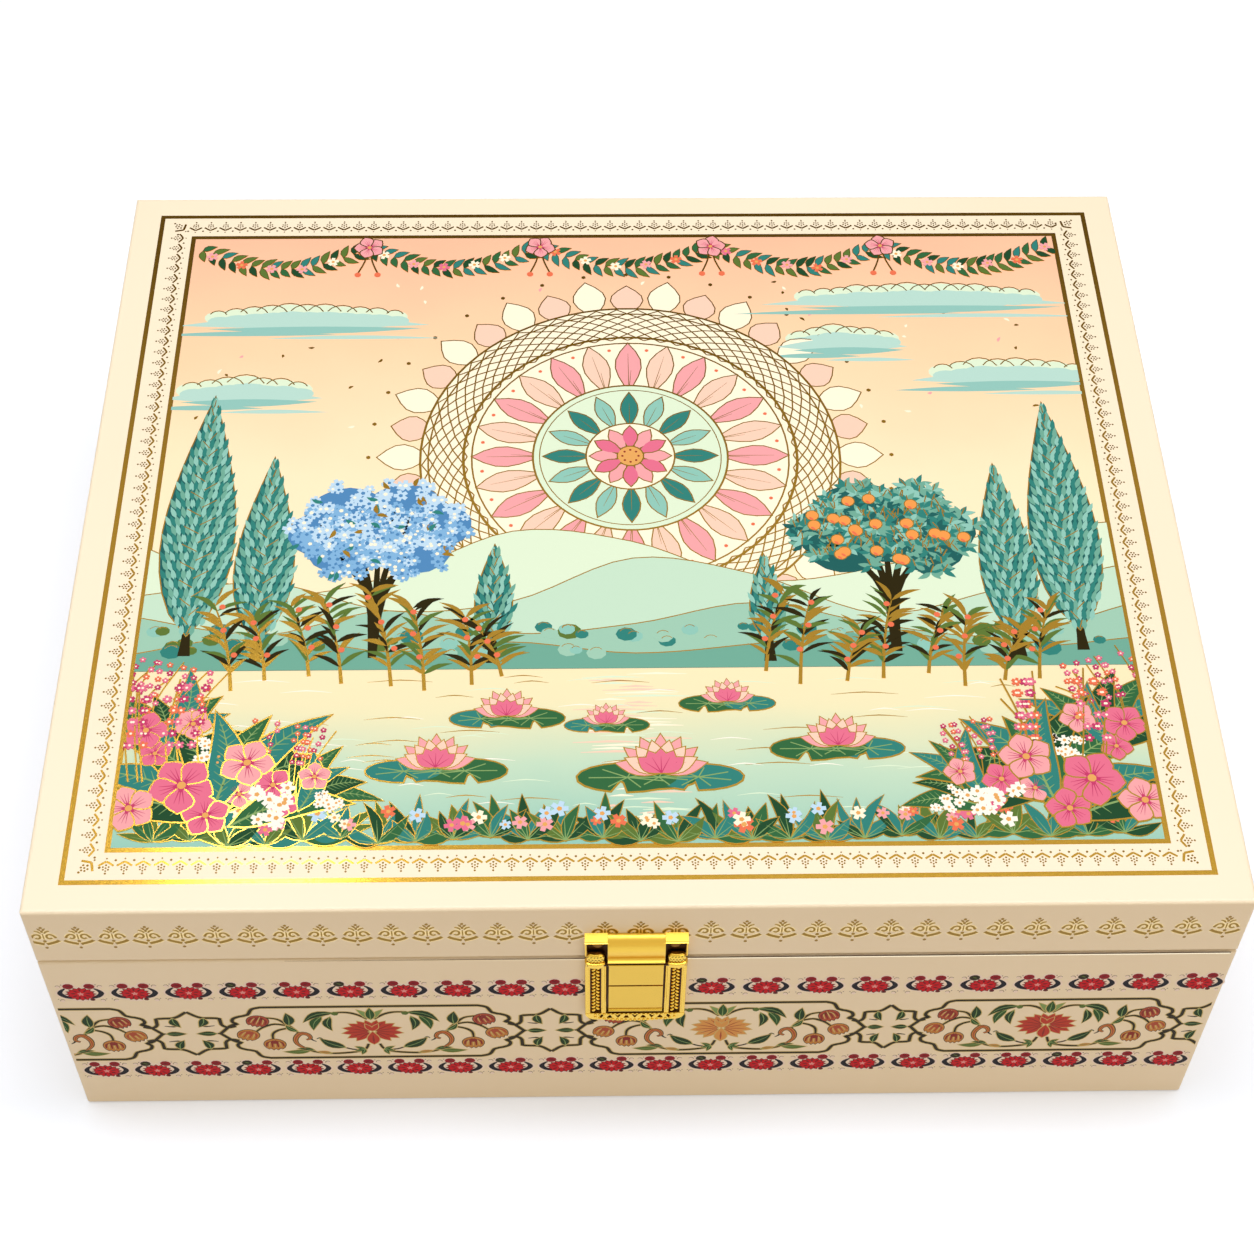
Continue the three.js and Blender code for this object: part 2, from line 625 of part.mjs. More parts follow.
const pinHalf = frameWidth / 2 - latchPinInset;
const latchPin = rodAlongX(latchPinRadius, -pinHalf, pinHalf, -latchPinDepth, pinZ, barrelFacets);
addPiece(latch, 'latch_strike', geometryOf(strikeBody()), gold);
addPiece(latch, 'latch_frame', geometryOf(frameBody()), gold);
addPiece(latch, 'latch_lever', geometryOf(leverBody()), gold);
addPiece(latch, 'latch_pin', latchPin, gold);

// Hinge leaf in a frame on the pin's axis: direction 1 goes up the lid, -1 down the base
const knucklePitch = hingeWidth / hingeKnuckles;
const leafBack = halfDepth - hingeAxisY;
const leafFront = leafBack + hingeLeafThickness;

function hingeLeaf(direction, places) {
  const half = hingeWidth / 2;
  const inner = hingeBarrelRadius + hingeBarrelRelief;
  const span = (a, b) => (direction > 0 ? [a, b] : [-b, -a]);
  const leaf = [solid(slab([-half, half], [leafBack, leafFront], span(inner, hingeLeafHeight)))];
  for (let i = direction > 0 ? 1 : 0; i < hingeKnuckles; i += 2) {
    const x0 = -half + i * knucklePitch + hingeKnuckleGap / 2;
    const x1 = -half + (i + 1) * knucklePitch - hingeKnuckleGap / 2;
    leaf.push(solid(rodAlongX(hingeBarrelRadius, x0, x1, 0, 0, barrelFacets)));
    leaf.push(solid(slab([x0, x1], [leafBack, leafFront], span(0, inner + hingeBarrelRelief))));
  }
  const bore = rodAlongX(hingePinRadius + hingePinClearance, -hingeWidth, hingeWidth, 0, 0, barrelFacets);
  const radius = screwShankRadius + shankClearance;
  const hole = (x) => rodAlongY(radius, leafBack - 1, leafFront + 1, x, direction * screwRise);
  return cut(joined(leaf), [bore, ...places.map(hole)].map(solid));
}

const leafScrews = [-screwSpacing / 2, screwSpacing / 2];
const lidLeaf = geometryOf(hingeLeaf(1, leafScrews));
const baseLeaf = geometryOf(hingeLeaf(-1, leafScrews));
const hingePin = rodAlongX(hingePinRadius, -hingeWidth / 2, hingeWidth / 2, 0, 0, barrelFacets);
hingeCentres.forEach((x, index) => {
  const side = index === 0 ? 'left' : 'right';
  const hinge = new THREE.Group();
  hinge.position.set(x, hingeAxisY, hingeAxisZ);
  addPiece(hinge, `hinge_${side}_lid_leaf`, lidLeaf, gold);
  addPiece(hinge, `hinge_${side}_base_leaf`, baseLeaf, gold);
  addPiece(hinge, `hinge_${side}_pin`, hingePin, gold);
  part.add(hinge);
});

export default part;
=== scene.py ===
import math
import random

import bpy
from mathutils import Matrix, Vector


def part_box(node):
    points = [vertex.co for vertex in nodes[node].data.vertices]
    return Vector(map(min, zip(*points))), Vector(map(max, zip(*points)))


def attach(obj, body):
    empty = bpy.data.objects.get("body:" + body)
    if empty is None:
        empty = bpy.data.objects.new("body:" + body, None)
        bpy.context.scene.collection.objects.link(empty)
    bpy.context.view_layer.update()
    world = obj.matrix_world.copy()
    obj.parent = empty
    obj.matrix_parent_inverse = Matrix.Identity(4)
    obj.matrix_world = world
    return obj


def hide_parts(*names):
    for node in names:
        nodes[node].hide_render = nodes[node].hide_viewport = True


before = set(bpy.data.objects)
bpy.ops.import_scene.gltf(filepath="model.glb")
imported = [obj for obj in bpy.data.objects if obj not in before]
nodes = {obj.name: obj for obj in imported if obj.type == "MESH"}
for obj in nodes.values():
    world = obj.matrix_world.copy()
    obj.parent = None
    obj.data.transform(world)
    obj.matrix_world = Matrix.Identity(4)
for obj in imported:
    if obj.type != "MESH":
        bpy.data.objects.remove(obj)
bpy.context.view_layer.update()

# Jar gift box: printed papers, gold latch, hinges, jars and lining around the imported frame. Sizes in mm.
mm = 0.001
print("stage: frame loaded,", len(nodes), "nodes")


def boxMm(node):
    low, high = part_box(node)
    return [v / mm for v in low], [v / mm for v in high]


def linear(hexColour):
    parts = [int(hexColour[i:i + 2], 16) / 255 for i in (1, 3, 5)]
    return [c / 12.92 if c <= 0.04045 else ((c + 0.055) / 1.055) ** 2.4 for c in parts] + [1.0]


def perMetre(millimetres):
    return 1000 / millimetres


def addNode(tree, kind, settings=None, links=None, stops=()):
    node = tree.nodes.new(kind)
    for key, value in (settings or {}).items():
        if isinstance(key, int) or key in node.inputs:
            node.inputs[key].default_value = value
        else:
            setattr(node, key, value)
    for socket, source in (links or {}).items():
        tree.links.new(source, node.inputs[socket])
    for extra in stops[2:]:
        node.color_ramp.elements.new(0.5)
    for i, (position, colour) in enumerate(stops):
        node.color_ramp.elements[i].position = position
        node.color_ramp.elements[i].color = linear(colour)
    return node


# Camera and light
view = {"place": (-13.99, -434.88, 597.85), "turn": (38.282, -0.6, -0.983), "lens": 67.73, "sensor": 36}
studio = {
    "floorSize": 9000, "floorGap": 0.2, "floorColour": "#EAEFF6", "floorBounce": "#958C7F",
    "floorGlow": "#808286", "bounceGlow": "#A0978A",
    "dome": ((0.0, "#A89A86"), (0.3, "#A0937F"), (0.62, "#8F867A"), (0.8, "#C9C4BC"), (1.0, "#E8E6E2")),
    "front": ("#F0E6D4", -0.1, -0.5), "rear": ("#4E4438", 0.66, 0.73),
}
lamps = {  # place, aim, size, power and colour
    "keyLamp": ((0, 20, 1500), (0, 0, 60), (1500, 1250), 8.4, "#F6F9FF"),
    "stripLamp": ((40, -42, 1500), (40, -42, 0), (1300, 195), 8.5, "#F6F9FF"),
    "frontFill": ((800, -1300, 320), (60, -130, 30), (900, 400), 2.7, "#FFE3BE"),
    "foilSpark": ((-288, 656, 1300), (-94.5, -115, 100), (100, 100), 0.4, "#F6F9FF"),
}


def addCamera():
    bpy.ops.object.camera_add(location=[v * mm for v in view["place"]],
                              rotation=[math.radians(a) for a in view["turn"]])
    camera = bpy.context.object
    camera.data.lens = view["lens"]
    camera.data.sensor_width = view["sensor"]
    bpy.context.scene.camera = camera


def addLamp(name, place, aim, size, power, colour):
    bpy.ops.object.light_add(type="AREA", location=[v * mm for v in place])
    lamp = bpy.context.object
    lamp.name = name
    lamp.rotation_euler = (Vector(aim) - Vector(place)).to_track_quat("-Z", "Y").to_euler()
    lamp.data.shape = "RECTANGLE"
    lamp.data.size, lamp.data.size_y = [s * mm for s in size]
    lamp.data.energy = power
    lamp.data.color = linear(colour)[:3]


def addWorld():
    # dim warm room round the horizon, which the foil mirrors as brown, under a paler ceiling
    world = bpy.data.worlds.new("studioRoom")
    world.use_nodes = True
    tree = world.node_tree
    coords = addNode(tree, "ShaderNodeTexCoord")
    axes = addNode(tree, "ShaderNodeSeparateXYZ", links={"Vector": coords.outputs["Generated"]})
    ramp = addNode(tree, "ShaderNodeValToRGB", links={"Fac": axes.outputs["Z"]}, stops=studio["dome"])
    path = addNode(tree, "ShaderNodeLightPath")
    room = ramp.outputs["Color"]
    # its pale front, and its dark rear low behind the box, show in metal and glass only
    for colour, start, end in (studio["front"], studio["rear"]):
        part = addNode(tree, "ShaderNodeMapRange", {"From Min": start, "From Max": end},
                       {"Value": axes.outputs["Y"]})
        seen = addNode(tree, "ShaderNodeMath", {"operation": "MULTIPLY"},
                       {0: part.outputs["Result"], 1: path.outputs["Is Glossy Ray"]})
        mix = addNode(tree, "ShaderNodeMix", {"data_type": "RGBA", 7: linear(colour)},
                      {0: seen.outputs[0], 6: room})
        room = mix.outputs[2]
    tree.links.new(room, tree.nodes["Background"].inputs["Color"])
    bpy.context.scene.world = world


def addFloor():
    # white to the eye and in reflections, and a dull bounce for all other light
    bpy.ops.mesh.primitive_plane_add(size=studio["floorSize"] * mm, location=(0, 0, -studio["floorGap"] * mm))
    floor = bpy.context.object
    floor.name = "studioFloor"
    material = bpy.data.materials.new("paleFloor")
    material.use_nodes = True
    tree = material.node_tree
    tree.nodes.remove(tree.nodes["Principled BSDF"])
    path = addNode(tree, "ShaderNodeLightPath")
    seen = path.outputs["Is Camera Ray"]
    for ray in ("Is Glossy Ray", "Is Transmission Ray"):
        either = addNode(tree, "ShaderNodeMath", {"operation": "MAXIMUM"}, {0: seen, 1: path.outputs[ray]})
        seen = either.outputs[0]
    tints = []
    for unseen, shown in (("floorBounce", "floorColour"), ("bounceGlow", "floorGlow")):
        colours = {"data_type": "RGBA", 6: linear(studio[unseen]), 7: linear(studio[shown])}
        tints.append(addNode(tree, "ShaderNodeMix", colours, {0: seen}).outputs[2])
    matt = addNode(tree, "ShaderNodeBsdfDiffuse", links={"Color": tints[0]})
    glow = addNode(tree, "ShaderNodeEmission", links={"Color": tints[1]})
    mix = addNode(tree, "ShaderNodeAddShader", links={0: matt.outputs[0], 1: glow.outputs[0]})
    tree.links.new(mix.outputs[0], tree.nodes["Material Output"].inputs["Surface"])
    floor.data.materials.append(material)


bpy.ops.object.select_all(action="DESELECT")
bpy.context.scene.view_settings.view_transform = "Standard"
addCamera()
addWorld()
addFloor()
for name, settings in lamps.items():
    addLamp(name, *settings)
print("stage: camera, floor and lamps")


# Materials
def newMaterial(name, settings):
    material = bpy.data.materials.new(name)
    material.use_nodes = True
    tree = material.node_tree
    shader = tree.nodes["Principled BSDF"]
    for socket, value in settings.items():
        shader.inputs[socket].default_value = value
    coords = addNode(tree, "ShaderNodeTexCoord").outputs["Object"]
    return material, tree, shader, coords


def texture(tree, shader, coords, size, detail, roughness, depth=0.0, strength=1.0):
    # noise of a size in mm breaks up the gloss and, with a depth in mm, gives the surface its tooth
    noise = addNode(tree, "ShaderNodeTexNoise", {"Scale": perMetre(size), "Detail": detail},
                    {"Vector": coords})
    pattern = noise.outputs["Fac"]
    gloss = addNode(tree, "ShaderNodeMapRange", {"To Min": roughness[0], "To Max": roughness[1]},
                    {"Value": pattern})
    tree.links.new(gloss.outputs["Result"], shader.inputs["Roughness"])
    if depth:
        relief = addNode(tree, "ShaderNodeBump", {"Distance": depth * mm, "Strength": strength},
                         {"Height": pattern})
        tree.links.new(relief.outputs["Normal"], shader.inputs["Normal"])
    return pattern


def sheetMaterial(name, light, dark, cloudSize, fibreSize, roughness, fibreDepth, coat=0.0):
    # pulp: cloudy tone under a fine tooth of fibres
    settings = {"Coat Weight": coat, "Coat Roughness": 0.3, "IOR": 1.5}
    material, tree, shader, coords = newMaterial(name, settings)
    cloud = addNode(tree, "ShaderNodeTexNoise", {"Scale": perMetre(cloudSize), "Detail": 4},
                    {"Vector": coords})
    tone = addNode(tree, "ShaderNodeMix", {"data_type": "RGBA", 6: linear(dark), 7: linear(light)},
                   {0: cloud.outputs["Fac"]})
    tree.links.new(tone.outputs[2], shader.inputs["Base Color"])
    texture(tree, shader, coords, fibreSize, 3, roughness, fibreDepth)
    return material


def inkMaterial(name, colour):
    # offset ink under a satin film: flat colour, with a faint mottle in its gloss
    settings = {"Base Color": linear(colour), "Specular IOR Level": 0.08}
    material, tree, shader, coords = newMaterial(name, settings)
    texture(tree, shader, coords, 1.6, 2, (0.34, 0.5), 0.004)
    return material


def washMaterial(name, stops, low, high):
    # watercolour wash printed up the picture: a gradient along Y, softened by cloudy pigment
    material, tree, shader, coords = newMaterial(name, {"Specular IOR Level": 0.25})
    pigment = texture(tree, shader, coords, 45, 5, (0.36, 0.48))
    axes = addNode(tree, "ShaderNodeSeparateXYZ", links={"Vector": coords})
    climb = addNode(tree, "ShaderNodeMapRange", {"From Min": low * mm, "From Max": high * mm},
                    {"Value": axes.outputs["Y"]})
    drift = addNode(tree, "ShaderNodeMath", {"operation": "MULTIPLY_ADD", 1: 0.24, 2: -0.12}, {0: pigment})
    place = addNode(tree, "ShaderNodeMath", {"operation": "ADD"},
                    {0: climb.outputs["Result"], 1: drift.outputs[0]})
    ramp = addNode(tree, "ShaderNodeValToRGB", links={"Fac": place.outputs[0]}, stops=stops)
    tree.links.new(ramp.outputs["Color"], shader.inputs["Base Color"])
    return material


def metalMaterial(name, colour, grainSize, roughness, depth, coat=0.0):
    # plated or lacquered metal: tight reflections, broken by the faint ripple of the casting or sheet
    material, tree, shader, coords = newMaterial(name, {
        "Base Color": linear(colour), "Metallic": 1.0, "Coat Weight": coat, "Coat Roughness": 0.12})
    texture(tree, shader, coords, grainSize, 3, roughness, depth)
    return material


def glassMaterial():
    # pressed soda glass: clear, faintly green, with slow ripples from the mould; most light goes through
    material, tree, shader, coords = newMaterial("pressedSodaGlass", {
        "Base Color": linear("#F4FBF8"), "Transmission Weight": 1.0, "IOR": 1.5, "Alpha": 0.32})
    texture(tree, shader, coords, 14, 1, (0.01, 0.04), 0.05, 0.4)
    return material


finish = {
    "paper": sheetMaterial("satinLaminatedPaper", "#FAEBD0", "#F6E5C6", 90, 0.7, (0.4, 0.52), 0.006, 0.12),
    "plainPaper": sheetMaterial("uncoatedPaper", "#F0E1C4", "#E8D7B6", 30, 0.5, (0.75, 0.9), 0.02),
    "lining": sheetMaterial("liningPaper", "#F3DFB6", "#EAD3A4", 25, 0.6, (0.6, 0.75), 0.02),
    "fibreboard": sheetMaterial("pressedFibreboard", "#B3976F", "#947852", 4, 0.8, (0.8, 0.95), 0.05),
    "trayCard": sheetMaterial("coveredTrayCard", "#F6E6C4", "#EFDBB2", 40, 0.6, (0.55, 0.7), 0.015),
    "foil": metalMaterial("hotStampedGoldFoil", "#E4B548", 1.1, (0.1, 0.2), 0.004),
    # wall foil is gold foil darkened to bronze: painted shade of foil mirroring the dark room; pale foil is
    # its painted highlight rim
    "wallFoil": metalMaterial("goldFoilPaintedShade", "#8A6816", 0.9, (0.26, 0.42), 0.006),
    "paleFoil": metalMaterial("goldFoilPaintedHighlight", "#E6CC92", 0.9, (0.26, 0.42), 0.006),
    # bright foil used only for the painted highlight along the base rim's fold
    "pearlFoil": metalMaterial("foldHighlightFoil", "#FFF3D2", 0.9, (0.26, 0.42), 0.006),
    "plate": metalMaterial("polishedGoldPlate", "#D8B142", 2.5, (0.12, 0.22), 0.008),
    "castGold": metalMaterial("castGoldPlate", "#E8C24E", 0.7, (0.16, 0.28), 0.008),
    "satinGold": metalMaterial("satinGoldPlate", "#E8C04E", 0.5, (0.26, 0.4), 0.015),
    # dark brown metal for the latch's recesses, gaps and pin: painted shade, not the metal's own colour
    "recess": metalMaterial("paintedShadeBrown", "#3A2010", 1.2, (0.3, 0.5), 0.02),
    # dull dark brass for the tack heads: painted shade, dimming them where they sit in the latch's shaded
    # windows
    "shadeDimmedBrass": metalMaterial("shadeDimmedBrass", "#7A5322", 0.8, (0.3, 0.45), 0.01),
    "capTin": metalMaterial("lacqueredTinplate", "#E3B750", 5, (0.22, 0.32), 0.01, 0.5),
    "glass": glassMaterial(),
    "sky": washMaterial("dawnSkyWash", ((0.0, "#FBEFC9"), (0.42, "#FCE6BE"), (0.7, "#FAD3A9"),
                                        (1.0, "#F6BE9C")), -60, 113),
    "lake": washMaterial("lakeWash", ((0.0, "#8FC4B4"), (0.4, "#BFD9BE"), (0.72, "#EBE3B8"),
                                      (1.0, "#FBE6B9")), -113, -52),
}
inks = {
    "crimson": "#D00A1E", "berry": "#940A1C", "maroon": "#5E0810", "soot": "#0E0814", "white": "#FBF4E6",
    "smoke": "#A79A8A", "olive": "#2B2306", "bottle": "#18380F", "fern": "#28521F", "moss": "#5B7432",
    "leafDark": "#1E492B", "leaf": "#30663C", "leafLight": "#86A565", "goldEdge": "#D9C480",
    # the seam ink is a painted shadow under the lid's edge
    "halo": "#FBEAE0", "seam": "#5C3E12", "lotusRed": "#C4402F", "lotusDark": "#8E2F26",
    "apricot": "#E3A55C", "rust": "#B5533A", "ochre": "#C98A45", "teal": "#2F7F76", "tealDark": "#1F5E5B",
    "tealPale": "#8CC3B4", "mint": "#C3DFC6", "mintPale": "#DCECCF", "hill": "#9CC7B0",
    "hillNear": "#6EA894", "cloud": "#B5D8CC", "cloudDeep": "#8FC2B8", "blush": "#F6CDB6",
    "rose": "#EFA3A6", "pink": "#E26F8C", "magenta": "#C23A68", "cream": "#FDF1D6", "blue": "#7FB0D8",
    "bluePale": "#BCD8EC", "blueDeep": "#4F86B8", "coral": "#E8724F", "tangerine": "#F09A4E",
}
for ink, colour in inks.items():
    finish[ink] = inkMaterial("offsetInk" + ink[0].upper() + ink[1:], colour)
print("stage: materials,", len(finish))


def coat(piece, look):
    piece.data.materials.clear()
    piece.data.materials.append(finish[look])


cadLooks = {
    "paper": ("base_wrap", "lid_wrap"),
    "plainPaper": ("base_bottom_sheet",),
    "lining": ("base_floor_lining", "base_wall_lining", "lid_top_lining", "lid_wall_lining"),
    "fibreboard": [n for n in nodes if n.endswith("_board")],
    "plate": [n for n in nodes if n.startswith(("latch", "hinge"))],
    # the latch pin in the dark recess metal: a painted shade line under the hood's brim
    "recess": ("latch_pin",),
    "glass": [n for n in nodes if n.startswith("jar_") and n[4:].isdigit()],
    "capTin": [n for n in nodes if n.startswith("jar_cap_")],
    "trayCard": ("jar_tray",),
}
for look, names in cadLooks.items():
    for name in names:
        coat(nodes[name], look)
print("stage: finishes on the frame's own nodes")


# Printing: a drawing is a list of inked shapes in mm, stamped onto a flat face as thin films of ink
film = {"sink": -0.01, "step": 0.008, "nudge": 0.0001, "turns": 30}


def fill(drawing, points, ink, level):
    drawing.append({"points": list(points), "ink": ink, "level": level, "widths": None})


def stroke(drawing, points, width, ink, level, taper=(1, 1, 1)):
    start, middle, end = taper
    last = len(points) - 1
    widths = []
    for i in range(len(points)):
        t = i / last
        blend = start + (middle - start) * 2 * t if t < 0.5 else middle + (end - middle) * (2 * t - 1)
        widths.append(width * blend)
    drawing.append({"points": list(points), "ink": ink, "level": level, "widths": widths})


def signedArea(points):
    return sum(a[0] * b[1] - b[0] * a[1] for a, b in zip(points, points[1:] + points[:1])) / 2


def swollen(points, amount):
    # the outline moved outwards by amount, with its corners held to twice that
    if signedArea(points) < 0:
        points = points[::-1]
    grown = []
    for before, here, after in zip(points[-1:] + points[:-1], points, points[1:] + points[:1]):
        normals = []
        for a, b in ((before, here), (here, after)):
            length = math.hypot(b[0] - a[0], b[1] - a[1]) or 1
            normals.append(((b[1] - a[1]) / length, (a[0] - b[0]) / length))
        x, y = normals[0][0] + normals[1][0], normals[0][1] + normals[1][1]
        scale = amount * min(2 / max(x * x + y * y, 1e-6), 2 / max(math.hypot(x, y), 1e-6))
        grown.append((here[0] + x * scale, here[1] + y * scale))
    return grown


def rimmed(drawing, points, ink, level, rim="foil", rimWidth=0.36):
    fill(drawing, swollen(list(points), rimWidth), rim, level)
    fill(drawing, points, ink, level + 0.4)


def polar(x, y, radius, degrees):
    angle = math.radians(degrees)
    return (x + radius * math.cos(angle), y + radius * math.sin(angle))


def oval(x, y, radiusX, radiusY=None, count=10, turn=0.0):
    radiusY = radiusX if radiusY is None else radiusY
    c, s = math.cos(math.radians(turn)), math.sin(math.radians(turn))
    points = []
    for i in range(count):
        angle = 2 * math.pi * (i + 0.5) / count
        u, v = radiusX * math.cos(angle), radiusY * math.sin(angle)
        points.append((x + u * c - v * s, y + u * s + v * c))
    return points


def arc(x, y, radius, start, end, steps):
    return [polar(x, y, radius, start + (end - start) * i / steps) for i in range(steps + 1)]


def curve(points, steps):
    # a smooth line through the points
    ends = [points[0]] + list(points) + [points[-1]]
    line = []
    for quad in zip(ends, ends[1:], ends[2:], ends[3:]):
        for i in range(steps):
            t = i / steps
            place = []
            for a, b, c, d in zip(*quad):
                square, cube = 2 * a - 5 * b + 4 * c - d, 3 * b - a - 3 * c + d
                place.append(0.5 * (2 * b + (c - a) * t + square * t * t + cube * t ** 3))
            line.append(tuple(place))
    return line + [tuple(points[-1])]


def leaf(x, y, degrees, length, width, bend=0.0, steps=5, belly=0.8):
    # pointed at both ends, widest where belly puts it, and bowed sideways by bend of its length
    c, s = math.cos(math.radians(degrees)), math.sin(math.radians(degrees))
    left, right = [], []
    for i in range(steps + 1):
        t = i / steps
        half = width / 2 * math.sin(math.pi * t ** belly)
        u, middle = length * t, bend * length * math.sin(math.pi * t)
        for side, sign in ((left, 1), (right, -1)):
            v = middle + sign * half
            side.append((x + u * c - v * s, y + u * s + v * c))
    return left + right[-2:0:-1]


def midrib(x, y, degrees, length, bend=0.0, steps=4, reach=0.86):
    c, s = math.cos(math.radians(degrees)), math.sin(math.radians(degrees))
    line = []
    for i in range(steps + 1):
        t = reach * i / steps
        u, v = length * t, bend * length * math.sin(math.pi * t)
        line.append((x + u * c - v * s, y + u * s + v * c))
    return line


def placed(drawing, x=0.0, y=0.0, turn=0.0, scale=1.0, mirror=False, lift=0):
    c, s = math.cos(math.radians(turn)) * scale, math.sin(math.radians(turn)) * scale
    flip = -1 if mirror else 1
    copy = []
    for shape in drawing:
        points = [(x + flip * u * c - v * s, y + flip * u * s + v * c) for u, v in shape["points"]]
        widths = shape["widths"] and [w * scale for w in shape["widths"]]
        copy.append({"points": points, "ink": shape["ink"], "level": shape["level"] + lift, "widths": widths})
    return copy


def withMirror(drawing):
    return drawing + placed(drawing, mirror=True)


def clipped(points, limit):
    # what of an outline lies between -limit and limit across
    for sign in (1, -1):
        kept = []
        for a, b in zip(points, points[1:] + points[:1]):
            insideA, insideB = sign * a[0] <= limit, sign * b[0] <= limit
            if insideA:
                kept.append(a)
            if insideA != insideB:
                t = (sign * limit - a[0]) / (b[0] - a[0])
                kept.append((sign * limit, a[1] + t * (b[1] - a[1])))
        points = kept
        if len(points) < 3:
            return []
    return points


def newSheet(name, origin, across, up, limit):
    across, up = Vector(across), Vector(up)
    return {"name": name, "origin": Vector(origin), "across": across, "up": up, "out": across.cross(up),
            "limit": limit, "points": [], "faces": [], "inks": [], "count": 0}


def ribbonOutline(points, widths):
    left, right = [], []
    for i, (x, y) in enumerate(points):
        before, after = points[max(i - 1, 0)], points[min(i + 1, len(points) - 1)]
        dx, dy = after[0] - before[0], after[1] - before[1]
        length = math.hypot(dx, dy) or 1
        u, v = -dy / length * widths[i] / 2, dx / length * widths[i] / 2
        left.append((x + u, y + v))
        right.append((x - u, y - v))
    return left, right


def addPoints(sheet, rows):
    first = len(sheet["points"])
    for row, height in rows:
        for u, v in row:
            place = sheet["origin"] + sheet["across"] * u + sheet["up"] * v + sheet["out"] * height
            sheet["points"].append(place * mm)
    return first


def addFaces(sheet, faces, ink):
    sheet["faces"] += faces
    sheet["inks"] += [ink] * len(faces)


def addFilm(sheet, loop, ink, rise):
    first, count = addPoints(sheet, ((loop, film["sink"]), (loop, rise))), len(loop)
    top = first + count
    faces = [tuple(range(top, top + count)), tuple(reversed(range(first, top)))]
    for i in range(count):
        j = (i + 1) % count
        faces.append((first + i, first + j, top + j, top + i))
    addFaces(sheet, faces, ink)


def addRibbon(sheet, left, right, ink, rise):
    # one closed strip of quads along the stroke
    sink, count, last = film["sink"], len(left), len(left) - 1
    first = addPoints(sheet, ((left, sink), (right, sink), (left, rise), (right, rise)))
    lowL, lowR, topL, topR = (first + k * count for k in range(4))
    faces = [(lowL, lowR, topR, topL), (lowR + last, lowL + last, topL + last, topR + last)]
    for i in range(last):
        j = i + 1
        faces += [(topL + i, topR + i, topR + j, topL + j), (lowR + i, lowL + i, lowL + j, lowR + j),
                  (lowL + i, topL + i, topL + j, lowL + j), (topR + i, lowR + i, lowR + j, topR + j)]
    addFaces(sheet, faces, ink)


def stamp(sheet, drawing):
    for shape in drawing:
        rise = film["step"] * (shape["level"] + 1) + film["nudge"] * (sheet["count"] % film["turns"])
        sheet["count"] += 1
        inside = [abs(p[0]) <= sheet["limit"] for p in shape["points"]]
        if not any(inside):
            continue
        loops = [shape["points"]]
        if shape["widths"]:
            left, right = ribbonOutline(shape["points"], shape["widths"])
            if all(inside):
                addRibbon(sheet, left, right, shape["ink"], rise)
                continue
            loops = [list(quad) for quad in zip(left, right, right[1:], left[1:])]
        for loop in loops:
            loop = clipped(loop, sheet["limit"])
            if len(loop) > 2:
                addFilm(sheet, loop if signedArea(loop) > 0 else loop[::-1], shape["ink"], rise)


def printSheet(sheet, body):
    mesh = bpy.data.meshes.new(sheet["name"])
    mesh.from_pydata(sheet["points"], [], sheet["faces"])
    used = sorted(set(sheet["inks"]))
    for ink in used:
        mesh.materials.append(finish[ink])
    mesh.polygons.foreach_set("material_index", [used.index(ink) for ink in sheet["inks"]])
    mesh.update()
    piece = bpy.data.objects.new(sheet["name"], mesh)
    bpy.context.scene.collection.objects.link(piece)
    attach(piece, body)


def wallSheets(node, name):
    # one sheet on each wall of a wrap, seen from outside: across to the right and up
    low, high = boxMm(node)
    margin = 1.2  # stops short of the paper's fold
    return {
        "front": newSheet(name + "_front", (0, low[1], 0), (1, 0, 0), (0, 0, 1), high[0] - margin),
        "back": newSheet(name + "_back", (0, high[1], 0), (-1, 0, 0), (0, 0, 1), high[0] - margin),
        "left": newSheet(name + "_left", (low[0], 0, 0), (0, -1, 0), (0, 0, 1), high[1] - margin),
        "right": newSheet(name + "_right", (high[0], 0, 0), (0, 1, 0), (0, 0, 1), high[1] - margin),
    }


# Gold fleurons round the lid's walls
wallFleuron = {  # pitch outwards from the middle of a wall, and how much it grows with each fleuron
    "front": {-1: (8.95, -0.013), 1: (8.7, 0.03)}, "other": {-1: (8.6, 0), 1: (8.6, 0)},
    "foot": 84.9, "glow": 0.55,
}


def foilStroke(drawing, line, width, taper=(1, 1, 1)):
    # gold foil stroke darkened to bronze as painted shade, laid on a wider pale gold stroke that is a painted
    # highlight along its pressed edge
    stroke(drawing, line, width + wallFleuron["glow"], "paleFoil", -0.5, taper)
    stroke(drawing, line, width, "wallFoil", 0, taper)


def drawWallFleuron():
    half = []
    foilStroke(half, curve([(0.3, 0.4), (1.6, 0.9), (2.9, 1.55), (3.65, 2.2)], 3), 1.05, (1, 1, 0.9))
    scroll = [(2.95, 3.6), (2.45, 4.55), (1.7, 5.0), (0.95, 4.6), (0.85, 3.6), (1.45, 2.95), (2.1, 3.35)]
    foilStroke(half, curve(scroll, 3), 0.6, (1.1, 1, 0.9))
    fill(half, oval(2.95, 3.6, 0.42, count=6), "wallFoil", 0.2)
    foilStroke(half, curve([(0.45, 5.5), (1.0, 6.3), (1.9, 6.7)], 3), 0.55, (0.7, 1.1, 0.7))
    fill(half, leaf(0.3, 6.7, 58, 1.5, 0.7, 0.1, 4), "wallFoil", 0)
    middle = []
    for y, wide, tall in ((-1.3, 0.46, 0.5), (1.75, 0.5, 0.6), (6.4, 0.38, 0.6), (8.2, 0.44, 0.5)):
        fill(middle, oval(0, y, wide, tall, 7), "wallFoil", 0.2)
    foilStroke(middle, [(0, 2.6), (0, 3.9), (0, 5.3)], 0.4, (0.6, 1, 0.6))
    return withMirror(half) + middle


